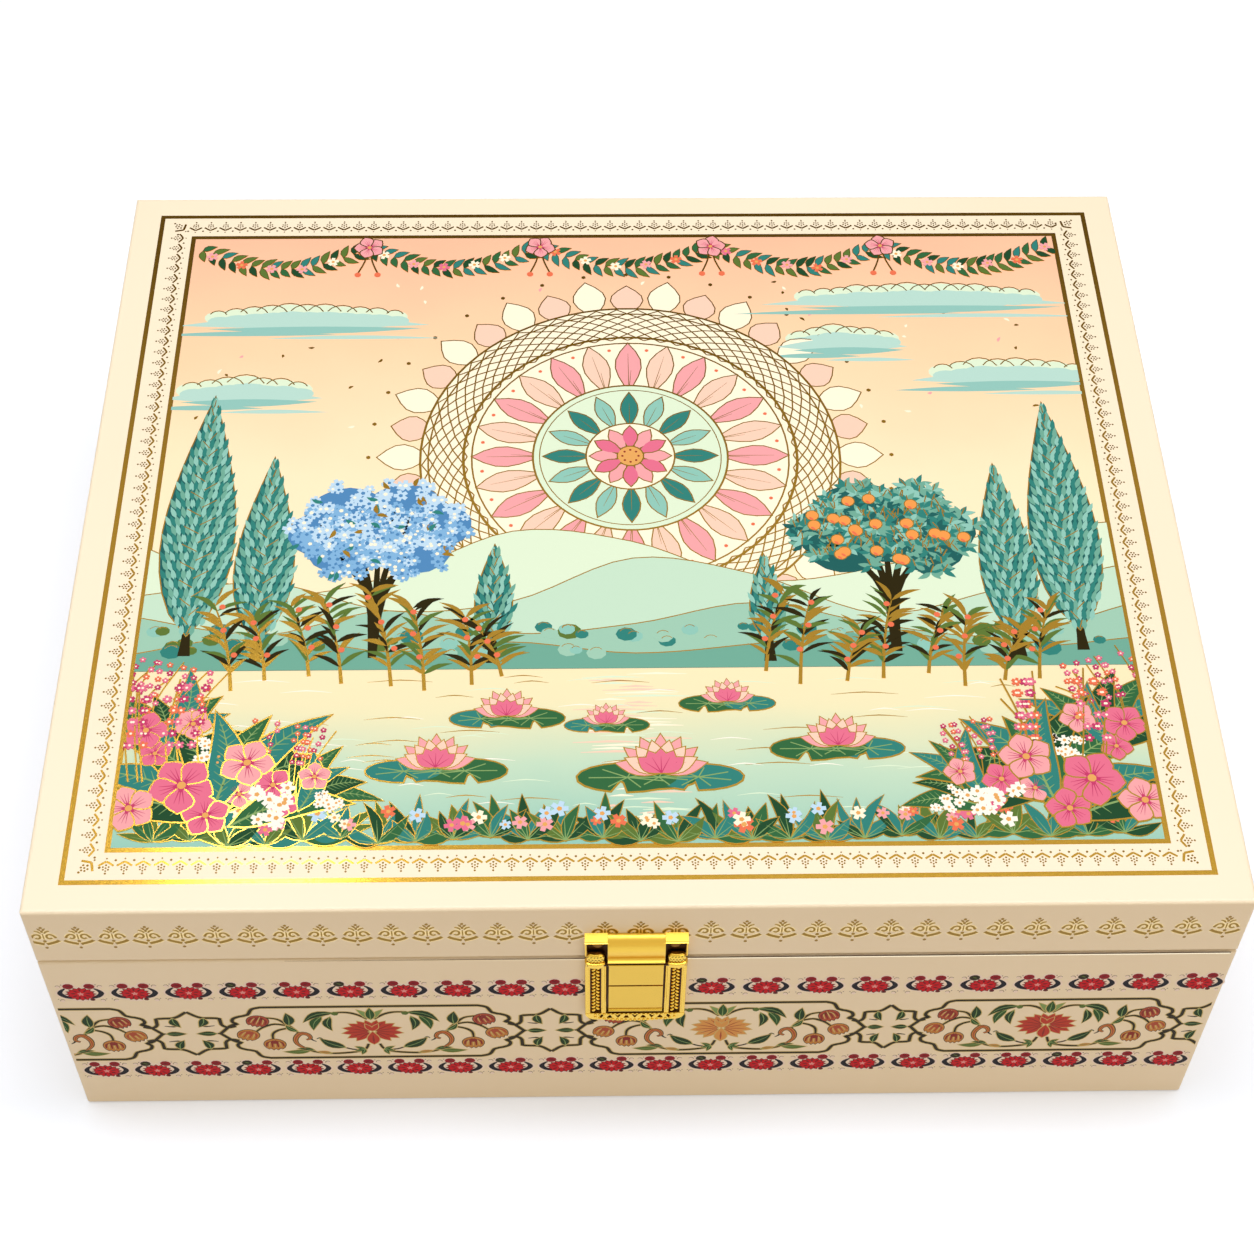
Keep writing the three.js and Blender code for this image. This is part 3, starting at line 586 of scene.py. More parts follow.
fleuron = drawWallFleuron()
for side, sheet in wallSheets("lid_wrap", "lid_foil").items():
    stamp(sheet, placed(fleuron, 0, wallFleuron["foot"]))
    for way, (pitch, growth) in wallFleuron.get(side, wallFleuron["other"]).items():
        for i in range(1, int(sheet["limit"] / pitch) + 2):
            stamp(sheet, placed(fleuron, way * i * (pitch + growth * i), wallFleuron["foot"]))
    printSheet(sheet, "lid")
print("stage: fleurons on the lid's walls")


# Base walls: two rows of red flowers, and between them a band of cartouches
flowerRow = {  # height of each row, then first flower and pitch to the left and to the right of the middle
    "front": ((60.5, (-19.15, -13.87), (18.8, 14.12)), (18.5, (-6.9, -13.72), (6.2, 13.87))),
    "other": ((60.5, (-7.0, -14.0), (7.0, 14.0)), (18.5, (-6.9, -13.8), (6.9, 13.8))),
}
band = {  # half lengths of a cartouche and of the link after it, and the places where cartouches stand
    "middle": 38.5, "half": 40.2, "link": 7.6,
    "front": ((-166.3, 40.2), (-70.5, 40.2), (22.2, 38.2), (108.9, 36.2), (199.5, 40.2)),
    "start": {"back": 19.3, "left": 22.1, "right": 11.9},
}


def drawRowFlower(oliveBud):
    half = []
    bracket = curve([(2.3, -2.2), (4.2, -1.55), (5.3, 0.0), (4.8, 1.4), (3.7, 2.5)], 3)
    stroke(half, bracket, 2.5, "halo", 0, (0.8, 1, 0.6))
    stroke(half, bracket, 1.3, "soot", 1, (0.95, 1.15, 0.35))
    fill(half, oval(2.75, 3.55, 2.05, 1.95, 10, -14), "halo", 0)
    for x, y, start, end in ((5.4, 3.4, 200, 20), (5.2, -3.7, -20, 160)):
        fill(half, oval(x, y, 0.62, 0.75, 7), "halo", 0)
        stroke(half, arc(x, y, 0.66, start, end, 4), 0.3, "smoke", 1, (0.5, 1, 0.5))
    fill(half, oval(4.4, 4.4, 0.24, count=5), "smoke", 1)
    fill(half, oval(6.2, -2.9, 0.22, count=5), "smoke", 1)
    middle = []
    fill(middle, oval(0, -0.25, 4.6, 3.9, 16), "halo", 0.4)
    petals = []
    for i in range(32):
        radius = 1.0 if i % 2 == 0 else 0.8
        angle = math.pi * i / 16
        petals.append((3.7 * radius * math.cos(angle), -0.3 + 3.1 * radius * math.sin(angle)))
    rimmed(middle, petals, "crimson", 1.6, "maroon", 0.22)
    for i in range(9):
        angle = 40 * i + 12
        fill(middle, leaf(*polar(0, -0.3, 1.25, angle), angle, 1.5, 0.5, 0, 3), "maroon", 3)
    for i in range(5):
        fill(middle, leaf(0, -0.3, 72 * i + 18, 0.95, 0.5, 0, 3), "rose", 4)
    for side in (-1, 1):
        bud, vein = ("olive", "moss") if oliveBud and side < 0 else ("berry", "maroon")
        fill(middle, oval(side * 2.7, 3.6, 1.45, 1.35, 10, -14 * side), bud, 2)
        fill(middle, leaf(side * 2.0, 3.3, 90 - 62 * side, 1.5, 0.42, 0, 3), vein, 3)
    fill(middle, oval(2.6, -3.2, 0.7, 0.62, 7), "maroon", 2)
    return withMirror(half) + middle


def drawDomeFlower(x, y, turn, petal, line):
    # round thistle-like flower: dark strokes fan down from its crown to a fringed foot
    flower = []
    outline = [(2.9 * u, 0.1 + 2.9 * v) for u, v in arc(0, 0, 1, -12, 192, 12)]
    for i in range(9):
        outline.append((-2.4 + 0.6 * i, -1.4 - (1.6 if i % 2 else 0.8) * math.cos((i - 4) * 0.28)))
    rimmed(flower, outline, petal, 2, "olive", 0.2)
    for i in range(7):
        lean, odd = (i - 3) / 3, i % 2
        drop = abs(lean)
        rib = [(0.6 * lean, 2.5 - 0.7 * drop), (2.0 * lean, 0.9), (2.3 * lean, -1.7 + 0.6 * drop)]
        width, ink = (0.36, "goldEdge") if odd else (0.6, line)
        stroke(flower, curve(rib, 3), width, ink, 3 + 0.3 * odd, (0.5, 1, 0.6))
    fill(flower, oval(0, 1.3, 1.15, 0.95, 10), line, 3.6)
    return placed(flower, x, y, turn)


def bandLeaf(drawing, x, y, degrees, length, width, bend=0.0, ink="bottle", level=2):
    rimmed(drawing, leaf(x, y, degrees, length, width, bend, 6), ink, level, "goldEdge", 0.24)
    stroke(drawing, midrib(x, y, degrees, length, bend), 0.3, "leafLight", level + 1, (1, 0.8, 0.3))


# olive ink edged in pale gold ink stands in for gold foil: the olive is a painted dark reflection, the pale
# edges a painted highlight
def vine(drawing, points, width=0.8, level=0):
    line = curve(points, 4)
    stroke(drawing, line, width + 0.55, "goldEdge", level, (0.8, 1, 0.8))
    stroke(drawing, line, width, "olive", level + 1, (0.8, 1, 0.6))


# olive ink edged in pale gold ink stands in for gold foil: the olive is a painted dark reflection, the pale
# edges a painted highlight
def frameStroke(drawing, line):
    stroke(drawing, line, 1.5, "goldEdge", 0)
    stroke(drawing, line, 0.95, "olive", 1)


def drawCartouche():
    half = []
    edge = curve([(28.4, 13.8), (30.6, 12.9), (31.6, 10.8)], 4) + [(32.0, 10.0), (33.4, 9.3)]
    edge += curve([(34.2, 9.1), (36.0, 8.0), (36.4, 6.2), (35.2, 5.1)], 3)
    edge += curve([(35.8, 4.7), (37.2, 4.1), (40.2, 0)], 3)
    upper = [(0, 13.8)] + edge
    frameStroke(half, upper)
    frameStroke(half, [(u, -v) for u, v in upper])
    # vine over the flower, with its three hanging leaves
    vine(half, [(0.9, 7.0), (3.6, 9.6), (6.4, 10.7), (9.7, 10.6)])
    vine(half, [(9.2, 10.4), (11.4, 9.8), (13.0, 8.4)], 0.45)
    bandLeaf(half, 9.4, 10.6, -31, 9.9, 2.7, 0.17)
    bandLeaf(half, 12.8, 8.7, -70, 7.8, 2.6, 0.12, "fern")
    bandLeaf(half, 10.6, 8.4, -90, 7.4, 2.4, 0.15)
    fill(half, oval(9.2, 10.1, 1.0, 1.0, 7), "moss", 3)
    # stem below, curling up into an orange scroll
    vine(half, [(1.5, -6.4), (2.6, -9.4), (5.4, -10.9), (11.5, -11.6), (16.4, -10.5), (18.6, -8.6)])
    scroll = curve([(18.4, -8.9), (20.5, -6.2), (20.7, -3.2), (19.2, -0.5), (17.3, -1.0), (16.7, -3.0),
                    (17.9, -3.9)], 3)
    stroke(half, scroll, 1.9, "olive", 2, (0.5, 1, 0.4))
    stroke(half, scroll, 1.35, "ochre", 3, (0.4, 1, 0.3))
    stroke(half, scroll, 0.5, "rust", 4, (0.3, 1, 0.2))
    stroke(half, curve([(16.9, -2.4), (16.3, -4.0), (15.3, -4.9)], 3), 0.6, "olive", 1, (1, 0.9, 0.4))
    for angle in (-70, -20, 30):
        bandLeaf(half, 2.6, -9.4, angle, 3.0, 1.2, 0.0, "fern")
    bandLeaf(half, 7.8, -8.4, 38, 8.2, 3.3, -0.08)
    stroke(half, curve([(13.4, -3.9), (14.3, -2.9), (15.1, -3.5)], 3), 0.55, "bottle", 1, (1, 1, 0.4))
    stroke(half, curve([(8.2, -8.2), (6.0, -9.4), (3.2, -9.8)], 3), 0.6, "olive", 1)
    bandLeaf(half, 17.2, -9.9, -4, 7.4, 2.1, -0.06, "moss")
    bandLeaf(half, 16.2, -9.8, 12, 4.6, 1.6, 0.1, "bottle", 3)
    bandLeaf(half, 11.8, -11.4, 14, 3.8, 1.3, 0.0, "ochre")
    # side stem with a leaf and three round flowers
    vine(half, [(19.6, -0.2), (20.8, 2.2), (22.4, 4.6), (24.6, 7.4), (28.0, 8.3)])
    vine(half, [(21.6, 3.6), (25.4, 4.8), (28.6, 3.2), (30.6, 1.0)])
    vine(half, [(21.4, 2.8), (24.6, 1.6), (26.4, -0.4), (26.7, -3.4)])
    bandLeaf(half, 21.8, 4.0, 88, 6.6, 2.9, 0.06)
    bandLeaf(half, 19.8, 0.6, 52, 4.6, 1.6, -0.1, "fern")
    half += drawDomeFlower(29.8, 6.4, 20, "rust", "lotusDark")
    half += drawDomeFlower(33.0, -1.0, 24, "ochre", "rust")
    half += drawDomeFlower(26.5, -6.3, 0, "ochre", "lotusDark")
    return withMirror(half)


def drawLotus(petal, dark, edge):
    half = []
    petals = ((80, 6.2, 2.4), (60, 6.6, 2.7), (38, 7.1, 2.9), (16, 7.6, 2.9), (-6, 7.7, 2.8),
              (-28, 7.2, 2.7), (-50, 6.4, 2.5))
    for angle, length, width in petals:
        x, y = polar(0.4, 0.2, 0.7, angle)
        level = 2.2 - abs(angle) * 0.005
        rimmed(half, leaf(x, y, angle, length - 0.7, width, 0.04, 6, 0.95), petal, level, edge, 0.22)
        stroke(half, midrib(x, y, angle, length - 0.7, 0.04, 3, 0.8), 0.42, dark, 3, (0.4, 1, 0.2))
    middle = []
    for angle in (66, 114):
        rimmed(middle, leaf(0, 0.6, angle, 4.2, 1.6, 0, 5, 0.9), petal, 3.4 + angle * 0.004, edge, 0.2)
    rimmed(middle, leaf(0, -6.7, 90, 6.9, 3.3, 0, 6, 0.8), petal, 4, edge, 0.26)
    stroke(middle, [(0, -6.0), (0, -4), (0, -1.6)], 0.55, dark, 5, (0.3, 1, 0.3))
    # crown of three leaves above
    bandLeaf(half, 0.6, 7.2, 60, 5.6, 1.7, 0.08, "leafLight", 2)
    bandLeaf(middle, 0, 6.8, 90, 6.2, 2.4, 0, "fern", 4)
    return withMirror(half) + middle


def drawLink():
    # ornament between two cartouches
    quarter = []
    line = curve([(0, 11.7), (1.2, 10.5), (2.4, 9.3), (3.9, 8.5), (6.0, 8.4), (8.2, 8.2)], 3)
    frameStroke(quarter, line + curve([(8.3, 5.0), (9.0, 3.8), (10.4, 3.3), (12.0, 4.0)], 3))
    bandLeaf(quarter, 4.0, 8.4, -108, 5.0, 2.5, 0.12)
    stroke(quarter, curve([(2.3, 4.4), (4.2, 3.9), (6.5, 4.3)], 3), 0.6, "olive", 1, (0.5, 1, 0.4))
    pair = []
    bandLeaf(pair, 6.6, 0, 180, 5.2, 2.3, 0.0)
    stroke(pair, [(7.8, 0), (7.0, 0), (6.2, 0)], 0.7, "olive", 1)
    upper = withMirror(quarter)
    return upper + placed(upper, turn=180) + withMirror(pair)


def stretched(drawing, factor):
    return [dict(shape, points=[(factor * u, v) for u, v in shape["points"]]) for shape in drawing]


def drawCrease(reach):
    # painted shadow along the seam under the lid, and a painted highlight in bright foil along the rim's fold
    # below it, both fading out to the left
    rim, crease = boxMm("base_wrap")[1][2], []
    for start, drop, width, ink in ((-90, 0.2, 0.46, "seam"), (-60, 0.65, 0.44, "pearlFoil")):
        line = [(x, rim - drop) for x in (start, (start + reach) / 2, reach)]
        stroke(crease, line, width, ink, 0, (0.1, 1, 1))
    return crease


rowFlowers = [drawRowFlower(False), drawRowFlower(True)]
cartouche, link = drawCartouche(), drawLink()
lotuses = [drawLotus("apricot", "rust", "goldEdge"), drawLotus("lotusRed", "lotusDark", "goldEdge")]
for side, sheet in wallSheets("base_wrap", "base_print").items():
    for height, *ways in flowerRow.get(side, flowerRow["other"]):
        for first, pitch in ways:
            for i in range(12):
                flower = rowFlowers[(i * 5 + int(first)) % 7 in (1, 4)]
                stamp(sheet, placed(flower, first + i * pitch, height))
    period = 2 * (band["half"] + band["link"])
    cartouches = band.get(side) or [(band["start"][side] + i * period, band["half"]) for i in range(-3, 4)]
    for i, (middle, reach) in enumerate(cartouches):
        stamp(sheet, placed(stretched(cartouche, reach / band["half"]), middle, band["middle"]))
        stamp(sheet, placed(lotuses[i % 2], middle, band["middle"]))
    for (before, reachBefore), (after, reachAfter) in zip(cartouches, cartouches[1:]):
        left, right = before + reachBefore, after - reachAfter
        shape = stretched(link, (right - left) / 2 / band["link"])
        stamp(sheet, placed(shape, (left + right) / 2, band["middle"]))
    if side == "front":
        stamp(sheet, drawCrease(sheet["limit"] - 0.5))
    printSheet(sheet, "base")
print("stage: flowers and cartouches on the base's walls")


# Lid top: gold lines, a border of small fleurons, and the garden print inside them
topPrint = {"outerLine": (143.9, 122.0, 1.4), "innerLine": (133.6, 112.6, 1.4), "row": (137.5, 116.55),
            "pitch": 4.5, "corner": 4.8, "panel": (132.5, 111.5), "shore": -54}


def frameLine(drawing, halfX, halfY, width, ink, level):
    outer = [(-halfX, -halfY), (halfX, -halfY), (halfX, halfY), (-halfX, halfY)]
    inner = [(x - math.copysign(width, x), y - math.copysign(width, y)) for x, y in outer]
    for i in range(4):
        fill(drawing, [outer[i], outer[i - 3], inner[i - 3], inner[i]], ink, level)


def drawBorderFleuron():
    # chevron pointing at the picture, with a plume of dots behind it
    half, middle = [], []
    stroke(half, [(0, 1.35), (0.95, 0.75), (1.9, 0.1)], 0.6, "foil", 0, (1, 1, 0.9))
    for x, y in ((0.72, -0.3), (0.62, -1.05)):
        fill(half, oval(x, y, 0.27, count=6), "wallFoil", 0)
    for x, y, radius in ((2.25, 1.7, 0.34), (0, 2.2, 0.24), (0, 0.25, 0.3), (0, -0.6, 0.27), (0, -1.45, 0.26),
                         (0, -2.2, 0.3)):
        fill(middle, oval(x, y, radius, count=6), "wallFoil", 0)
    return withMirror(half) + middle


def lidSheet(name):
    low, high = boxMm("lid_wrap")
    return newSheet(name, (0, 0, high[2]), (1, 0, 0), (0, 1, 0), high[0] - 3)


sheet = lidSheet("lid_border")
lines = []
frameLine(lines, *topPrint["outerLine"], "foil", 0)
frameLine(lines, *topPrint["innerLine"], "foil", 0)
stamp(sheet, lines)
fleuron = drawBorderFleuron()
rowX, rowY = topPrint["row"]
rows = ((0, -rowY, 0, rowX), (rowX, 0, 90, rowY), (0, rowY, 180, rowX), (-rowX, 0, 270, rowY))
for x, y, turn, reach in rows:
    count = round((reach - topPrint["corner"]) / topPrint["pitch"])
    for i in range(-count, count + 1):
        step = i * (reach - topPrint["corner"]) / count
        stamp(sheet, placed(fleuron, x + (step if y else 0), y + (0 if y else step), turn))
for x, y, turn in ((-rowX, -rowY, -45), (rowX, -rowY, 45), (rowX, rowY, 135), (-rowX, rowY, 225)):
    stamp(sheet, placed(fleuron, x, y, turn, 1.15))
printSheet(sheet, "lid")
print("stage: gold border on the lid")


def star(x, y, outer, inner, count, turn=0.0):
    return [polar(x, y, inner if i % 2 else outer, turn + 180 * i / count) for i in range(2 * count)]


def blossom(drawing, x, y, size, petal, heart, level, turn=0.0):
    outline = []
    for i in range(5):
        angle = turn + 72 * i
        outline += [polar(x, y, size * r, angle + a) for a, r in ((-36, 0.5), (-17, 0.96), (17, 0.96))]
    fill(drawing, outline, petal, level)
    fill(drawing, oval(x, y, size * 0.3, count=5), heart, level + 0.4)


def drawSun():
    # sun wheel: rings of petals and a gold trellis
    sun = []
    for i in range(36):
        x, y = polar(0, 0, 57, 10 * i)
        length, ink, level = (12.5, "blush", 0.5) if i % 2 else (15, "cream", 1)
        rimmed(sun, leaf(x, y, 10 * i, length, 9.5, 0, 6, 1.1), ink, level)
        fill(sun, oval(*polar(0, 0, 74.6, 10 * i), 0.7, count=6), "foil", 1)
    rimmed(sun, oval(0, 0, 59.5, count=72), "cream", 3, "foil", 0.7)
    for i in range(60):
        for twist in (-9, 9):
            bar = [polar(0, 0, r, 6 * i + twist * k) for k, r in enumerate((46.5, 50.8, 55.1, 59.4))]
            stroke(sun, bar, 0.42, "foil", 4)
    for radius, width in ((57.6, 0.5), (47.6, 0.8), (45.2, 0.5)):
        stroke(sun, arc(0, 0, radius, 0, 360, 72), width, "foil", 4.4)
    for i in range(24):
        x, y = polar(0, 0, 25, 15 * i)
        ink, level = ("blush", 5.1) if i % 2 else ("rose", 4.6)
        rimmed(sun, leaf(x, y, 15 * i, 20, 7.4, 0, 6, 1.2), ink, level)
        for reach in (0.45, 0.8):
            vein = midrib(x, y, 15 * i + 14 * (reach - 0.8), 20, 0, 3, reach)
            stroke(sun, vein, 0.24, "foil", 5.8, (1, 0.8, 0.3))
        fill(sun, oval(*polar(0, 0, 42.5, 15 * i + 7.5), 0.6, count=6), "coral", 5.6)
    rimmed(sun, oval(0, 0, 27.5, count=60), "mintPale", 6, "foil", 0.6)
    stroke(sun, arc(0, 0, 25.9, 0, 360, 60), 0.3, "foil", 6.6)
    for i in range(16):
        x, y = polar(0, 0, 11.5, 22.5 * i)
        ink, level = ("tealPale", 7.2) if i % 2 else ("teal", 6.8)
        rimmed(sun, leaf(x, y, 22.5 * i, 13.2, 4.8, 0, 6, 1.1), ink, level)
        stroke(sun, midrib(x, y, 22.5 * i, 13, 0, 3, 0.7), 0.24, "foil", 7.8, (1, 0.8, 0.3))
    rimmed(sun, oval(0, 0, 12.4, count=40), "cream", 8, "foil", 0.5)
    for i in range(12):
        x, y = polar(0, 0, 2.5, 30 * i)
        ink, level = ("pink", 9) if i % 2 else ("rose", 8.6)
        rimmed(sun, leaf(x, y, 30 * i, 9, 4.2, 0, 5, 1.2), ink, level)
    rimmed(sun, oval(0, 0, 3.6, count=16), "apricot", 9.6, "foil", 0.4)
    for i in range(8):
        fill(sun, oval(*polar(0, 0, 2.3, 45 * i), 0.4, count=5), "lotusDark", 10.2)
    return sun


def drawHills(rng):
    hills = []
    edge, shore = topPrint["panel"][0], topPrint["shore"] - 2
    ranges = (("mintPale", 10.6, (-14, -30, -24, -8, -12, -26, -22, -10, -6)),
              ("mint", 11.4, (-30, -26, -36, -33, -18, -24, -38, -30, -22)),
              ("hill", 12.2, (-38, -44, -36, -44, -41, -34, -42, -46, -36)),
              ("hillNear", 13.0, (-50, -44, -50, -47, -51, -48, -44, -50, -47)))
    for ink, level, heights in ranges:
        top = curve([(-edge + 2 * edge * i / 8, y) for i, y in enumerate(heights)], 6)
        fill(hills, top + [(edge, shore), (-edge, shore)], ink, level)
        stroke(hills, top, 0.34, "foil", level + 0.2)
    for i in range(70):
        x = rng.uniform(-edge + 4, edge - 4)
        y = rng.uniform(-51, -42)
        size = rng.uniform(1.6, 3.4)
        ink = rng.choice(("teal", "hill", "moss", "tealPale"))
        fill(hills, oval(x, y, size, size * 0.8, 9), ink, 13.4 - y * 0.01)
        stroke(hills, arc(x, y, size * 0.7, 40, 150, 4), 0.22, "foil", 14.2)
    return hills


def drawCloud(rng, length):
    cloud = []
    steps = int(length / 5)
    for i in range(steps):
        x = length * (i + 0.5) / steps - length / 2
        size = 3.4 + 5.2 * math.sin(math.pi * (i + 0.5) / steps) * rng.uniform(0.75, 1.1)
        fill(cloud, oval(x, 0.8, size, size * 0.66, 14), "mintPale", 0.2 + 0.02 * i)
        fill(cloud, oval(x + 0.8, -0.8, size * 0.92, size * 0.5, 14), "cloud", 0.8 + 0.02 * i)
        stroke(cloud, arc(x, 0.9, size * 0.7, 25, 150, 6), 0.36, "foil", 1.6)
    streaks = (
        (-0.66, -2.6, 1.3, 5.4, 0.02, 9, "cloud", 1.5), (-0.5, -4.0, 1.1, 3.0, -0.01, 9, "cloudDeep", 1.8),
        (-0.78, -6.6, 0.95, 2.0, 0.01, 8, "cloudDeep", 1.4), (-0.2, -8.2, 0.9, 1.6, 0.01, 8, "cloud", 1.4),
    )
    for x, y, reach, width, bend, steps, ink, level in streaks:
        fill(cloud, leaf(length * x, y, 0, length * reach, width, bend, steps, 1.0), ink, level)
    return cloud


def drawCypress(height, width):
    tree = []
    stroke(tree, [(0, -7), (0, -2), (0, 5)], 2.4, "olive", 0, (1.4, 1, 0.8))
    rimmed(tree, leaf(0, 0, 90, height, width, 0, 12, 0.7), "tealDark", 0.2)
    rows = int(height / 3.2)
    for row in range(rows):
        t = (row + 0.6) / (rows + 0.4)
        half = width * 0.43 * math.sin(math.pi * t ** 0.7)
        count = max(1, round(half / 1.25))
        for k in range(-count, count + 1):
            x = half * (k + 0.5 * (row % 2)) / (count + 0.5)
            ink = ("teal", "tealPale", "hillNear")[(k * 2 + row) % 3]
            fill(tree, leaf(x, t * height - 2.2, 90 - 70 * x / width, 4.6, 1.5, 0, 3), ink, 1.4 + 0.02 * row)
        stroke(tree, [(0, t * height - 1.5), (half * 0.5 * (-1) ** row, t * height + 1.2)], 0.3, "foil", 2.6)
    return tree


def addBoughs(tree, wide, tall, spread, bough, ink, sides):
    # boughs of one trunk, each up to a rounded head of leaves
    heads = []
    for angle, reach in spread:
        u, v = polar(0, 0, reach, angle)
        x, y, size = wide * u, tall * (0.52 + 0.4 * v), wide * bough["head"]
        line = [(0, -tall * bough["root"]), (x * bough["sway"], 0), (x * bough["lean"], y * 0.6), (x, y)]
        stroke(tree, curve(line, 3), bough["width"], "olive", 0, (bough["flare"], 1, 0.4))
        fill(tree, oval(x, y, size, size * 0.8, sides), ink, 0.5)
        heads.append((x, y, size))
    return heads


def drawShrub(rng, wide, tall, inkSet, count):
    # trunk and boughs under rounded heads of small blossoms
    deep, middle, pale = inkSet
    shrub = []
    spread = ((0, 0), (20, 0.64), (68, 0.7), (122, 0.68), (176, 0.6), (222, 0.5), (318, 0.52))
    bough = {"head": 0.42, "root": 0.55, "sway": 0.15, "lean": 0.7, "width": 1.5, "flare": 1.5}
    heads = addBoughs(shrub, wide, tall, spread, bough, deep, 14)
    for i in range(count):
        x, y, size = heads[i % len(heads)]
        angle, reach = rng.uniform(0, 360), math.sqrt(rng.random()) * size
        px, py = polar(x, y, reach, angle)
        petal = pale if py > y + size * 0.1 or rng.random() < 0.25 else middle
        petalSize, heart = rng.uniform(1.5, 2.3), rng.choice(("cream", deep))
        blossom(shrub, px, py, petalSize, petal, heart, 1 + i % 9 * 0.15, angle)
    for i in range(26):
        x, y, size = heads[i % len(heads)]
        angle = rng.uniform(0, 360)
        sprig = leaf(*polar(x, y, size * 0.75, angle), angle, 3.6, 1.4, 0.1, 4)
        fill(shrub, sprig, rng.choice(("foil", "teal")), 2.4)
    return shrub


def drawFruitTree(rng, wide, tall, count):
    # rounded tree of leaf rosettes, lighter above, with ripe fruit
    tree = []
    spread = ((0, 0), (10, 0.62), (60, 0.7), (115, 0.7), (170, 0.62), (215, 0.55), (325, 0.55))
    bough = {"head": 0.42, "root": 0.5, "sway": 0.1, "lean": 0.6, "width": 1.8, "flare": 1.6}
    heads = addBoughs(tree, wide, tall, spread, bough, "tealDark", 16)
    for i in range(count):
        x, y, size = heads[i % len(heads)]
        angle, reach = rng.uniform(0, 2 * math.pi), math.sqrt(rng.random()) * size
        px, py = x + reach * math.cos(angle), y + 0.85 * reach * math.sin(angle)
        lit = py > y + rng.uniform(-0.5, 0.5) * size
        shades = ("tealPale", "hillNear", "teal") if lit else ("teal", "tealDark", "hillNear")
        for k in range(6):
            ink = rng.choice(shades)
            turn = -40 + 52 * k + rng.uniform(-9, 9)
            fill(tree, leaf(px, py, turn, rng.uniform(3.2, 4.4), 1.6, 0.05, 4), ink, 1 + 0.04 * (i % 40))
        stroke(tree, [(px, py), (px + rng.uniform(-1.5, 1.5), py + 2.4)], 0.34, "foil", 2.9)
    for i in range(22):
        x, y, size = heads[i % len(heads)]
        px, py = x + rng.uniform(-0.8, 0.8) * size, y + rng.uniform(-0.6, 0.6) * size
        rimmed(tree, oval(px, py, 1.7, count=12), "tangerine", 3.1, "foil", 0.26)
        fill(tree, leaf(px - 1.0, py - 0.6, -40, 1.9, 0.8, 0, 4), "coral", 3.9)
    return tree


def drawReed(rng, height, lean):
    # gold stem with long thin leaves and a few berries
    reed = []
    stem = curve([(0, 0), (lean * 0.2, height * 0.35), (lean * 0.55, height * 0.7), (lean, height)], 5)
    stroke(reed, stem, 0.8, "foil", 0.4, (1.3, 1, 0.4))
    for i, (x, y) in enumerate(stem[3:]):
        for side in (-1, 1):
            if rng.random() < 0.2:
                continue
            angle = 90 - side * rng.uniform(28, 74)
            ink = rng.choice(("foil", "foil", "moss", "olive"))
            blade = leaf(x, y, angle, rng.uniform(6, 10), rng.uniform(1.1, 1.7), 0.1 * side, 5)
            fill(reed, blade, ink, 0.6 + 0.1 * i)
        if i % 4 == 2:
            fill(reed, oval(x + rng.uniform(-2, 2), y + 1.4, 0.9, count=8), "coral", 2.4)
    return reed


def drawTuft(rng):
    # low foreground plant: a fan of leaves and a couple of small flowers
    tuft = []
    for i in range(7):
        angle = 90 + (i - 3) * 24 + rng.uniform(-8, 8)
        ink = rng.choice(("leafDark", "leaf", "teal", "moss"))
        length, width, bend = rng.uniform(9, 16), rng.uniform(2.6, 3.8), rng.uniform(-0.12, 0.12)
        rimmed(tuft, leaf(0, -2, angle, length, width, bend, 6), ink, 0.1 + 0.5 * (i % 3), "foil", 0.28)
        stroke(tuft, midrib(0, -2, angle, 10, 0, 4, 0.8), 0.3, "leafLight", 1.9, (1, 0.7, 0.2))
    for i in range(rng.randrange(1, 4)):
        x, y, size = rng.uniform(-6, 6), rng.uniform(2, 9), rng.uniform(1.8, 2.8)
        petal = rng.choice(("rose", "pink", "cream", "coral", "bluePale"))
        blossom(tuft, x, y, size, petal, "apricot", 2.2 + 0.3 * i, 31 * i)
    return tuft


def drawBigFlower(petal, throat, size):
    flower = []
    for i in range(5):
        angle = 72 * i + 18
        rimmed(flower, leaf(0, 0, angle, size, size * 0.86, 0, 7, 1.35), petal, 0.8 * (i % 2) + 0.1 * i)
        for spread in (-13, 0, 13):
            vein = midrib(0, 0, angle + spread, size, 0, 3, 0.68)
            stroke(flower, vein, size * 0.045, throat, 2.2, (1, 0.7, 0.2))
    fill(flower, star(0, 0, size * 0.3, size * 0.16, 5, 18), throat, 2.6)
    fill(flower, oval(0, 0, size * 0.14, count=8), "apricot", 3)
    return flower


def drawWaterLily():
    lily = []
    pad = [polar(0, 0, 1, -70 + 340 * i / 18) for i in range(19)] + [(0.1, 0)]
    for x, wide in ((-7, 8.5), (6.5, 9.5), (0.5, 7.5)):
        outline = [(x + u * wide, -2.4 + v * wide * 0.34) for u, v in pad]
        rimmed(lily, outline, "leaf" if x > 0 else "teal", 0.1)
        for i in range(7):
            u, v = polar(0, 0, 0.86, 50 * i)
            stroke(lily, [(x, -2.4), (x + u * wide * 0.9, -2.4 + v * wide * 0.3)], 0.24, "leafLight", 1)
    for row, ink, reach in ((0, "rose", 9.0), (1, "blush", 7.6), (2, "pink", 5.6)):
        count, level = 7 - row, 1.4 + row * 0.8
        for i in range(count):
            angle = 90 + (i - (count - 1) / 2) * (150 - 24 * row) / (count - 1)
            rimmed(lily, leaf(0, -1.4, angle, reach, 3.3, 0, 6, 1.0), ink, level + 0.05 * i, "foil", 0.22)
            vein = midrib(0, -1.4, angle, reach, 0, 3, 0.7)
            stroke(lily, vein, 0.24, "magenta", level + 0.7, (1, 0.7, 0.2))
    return lily


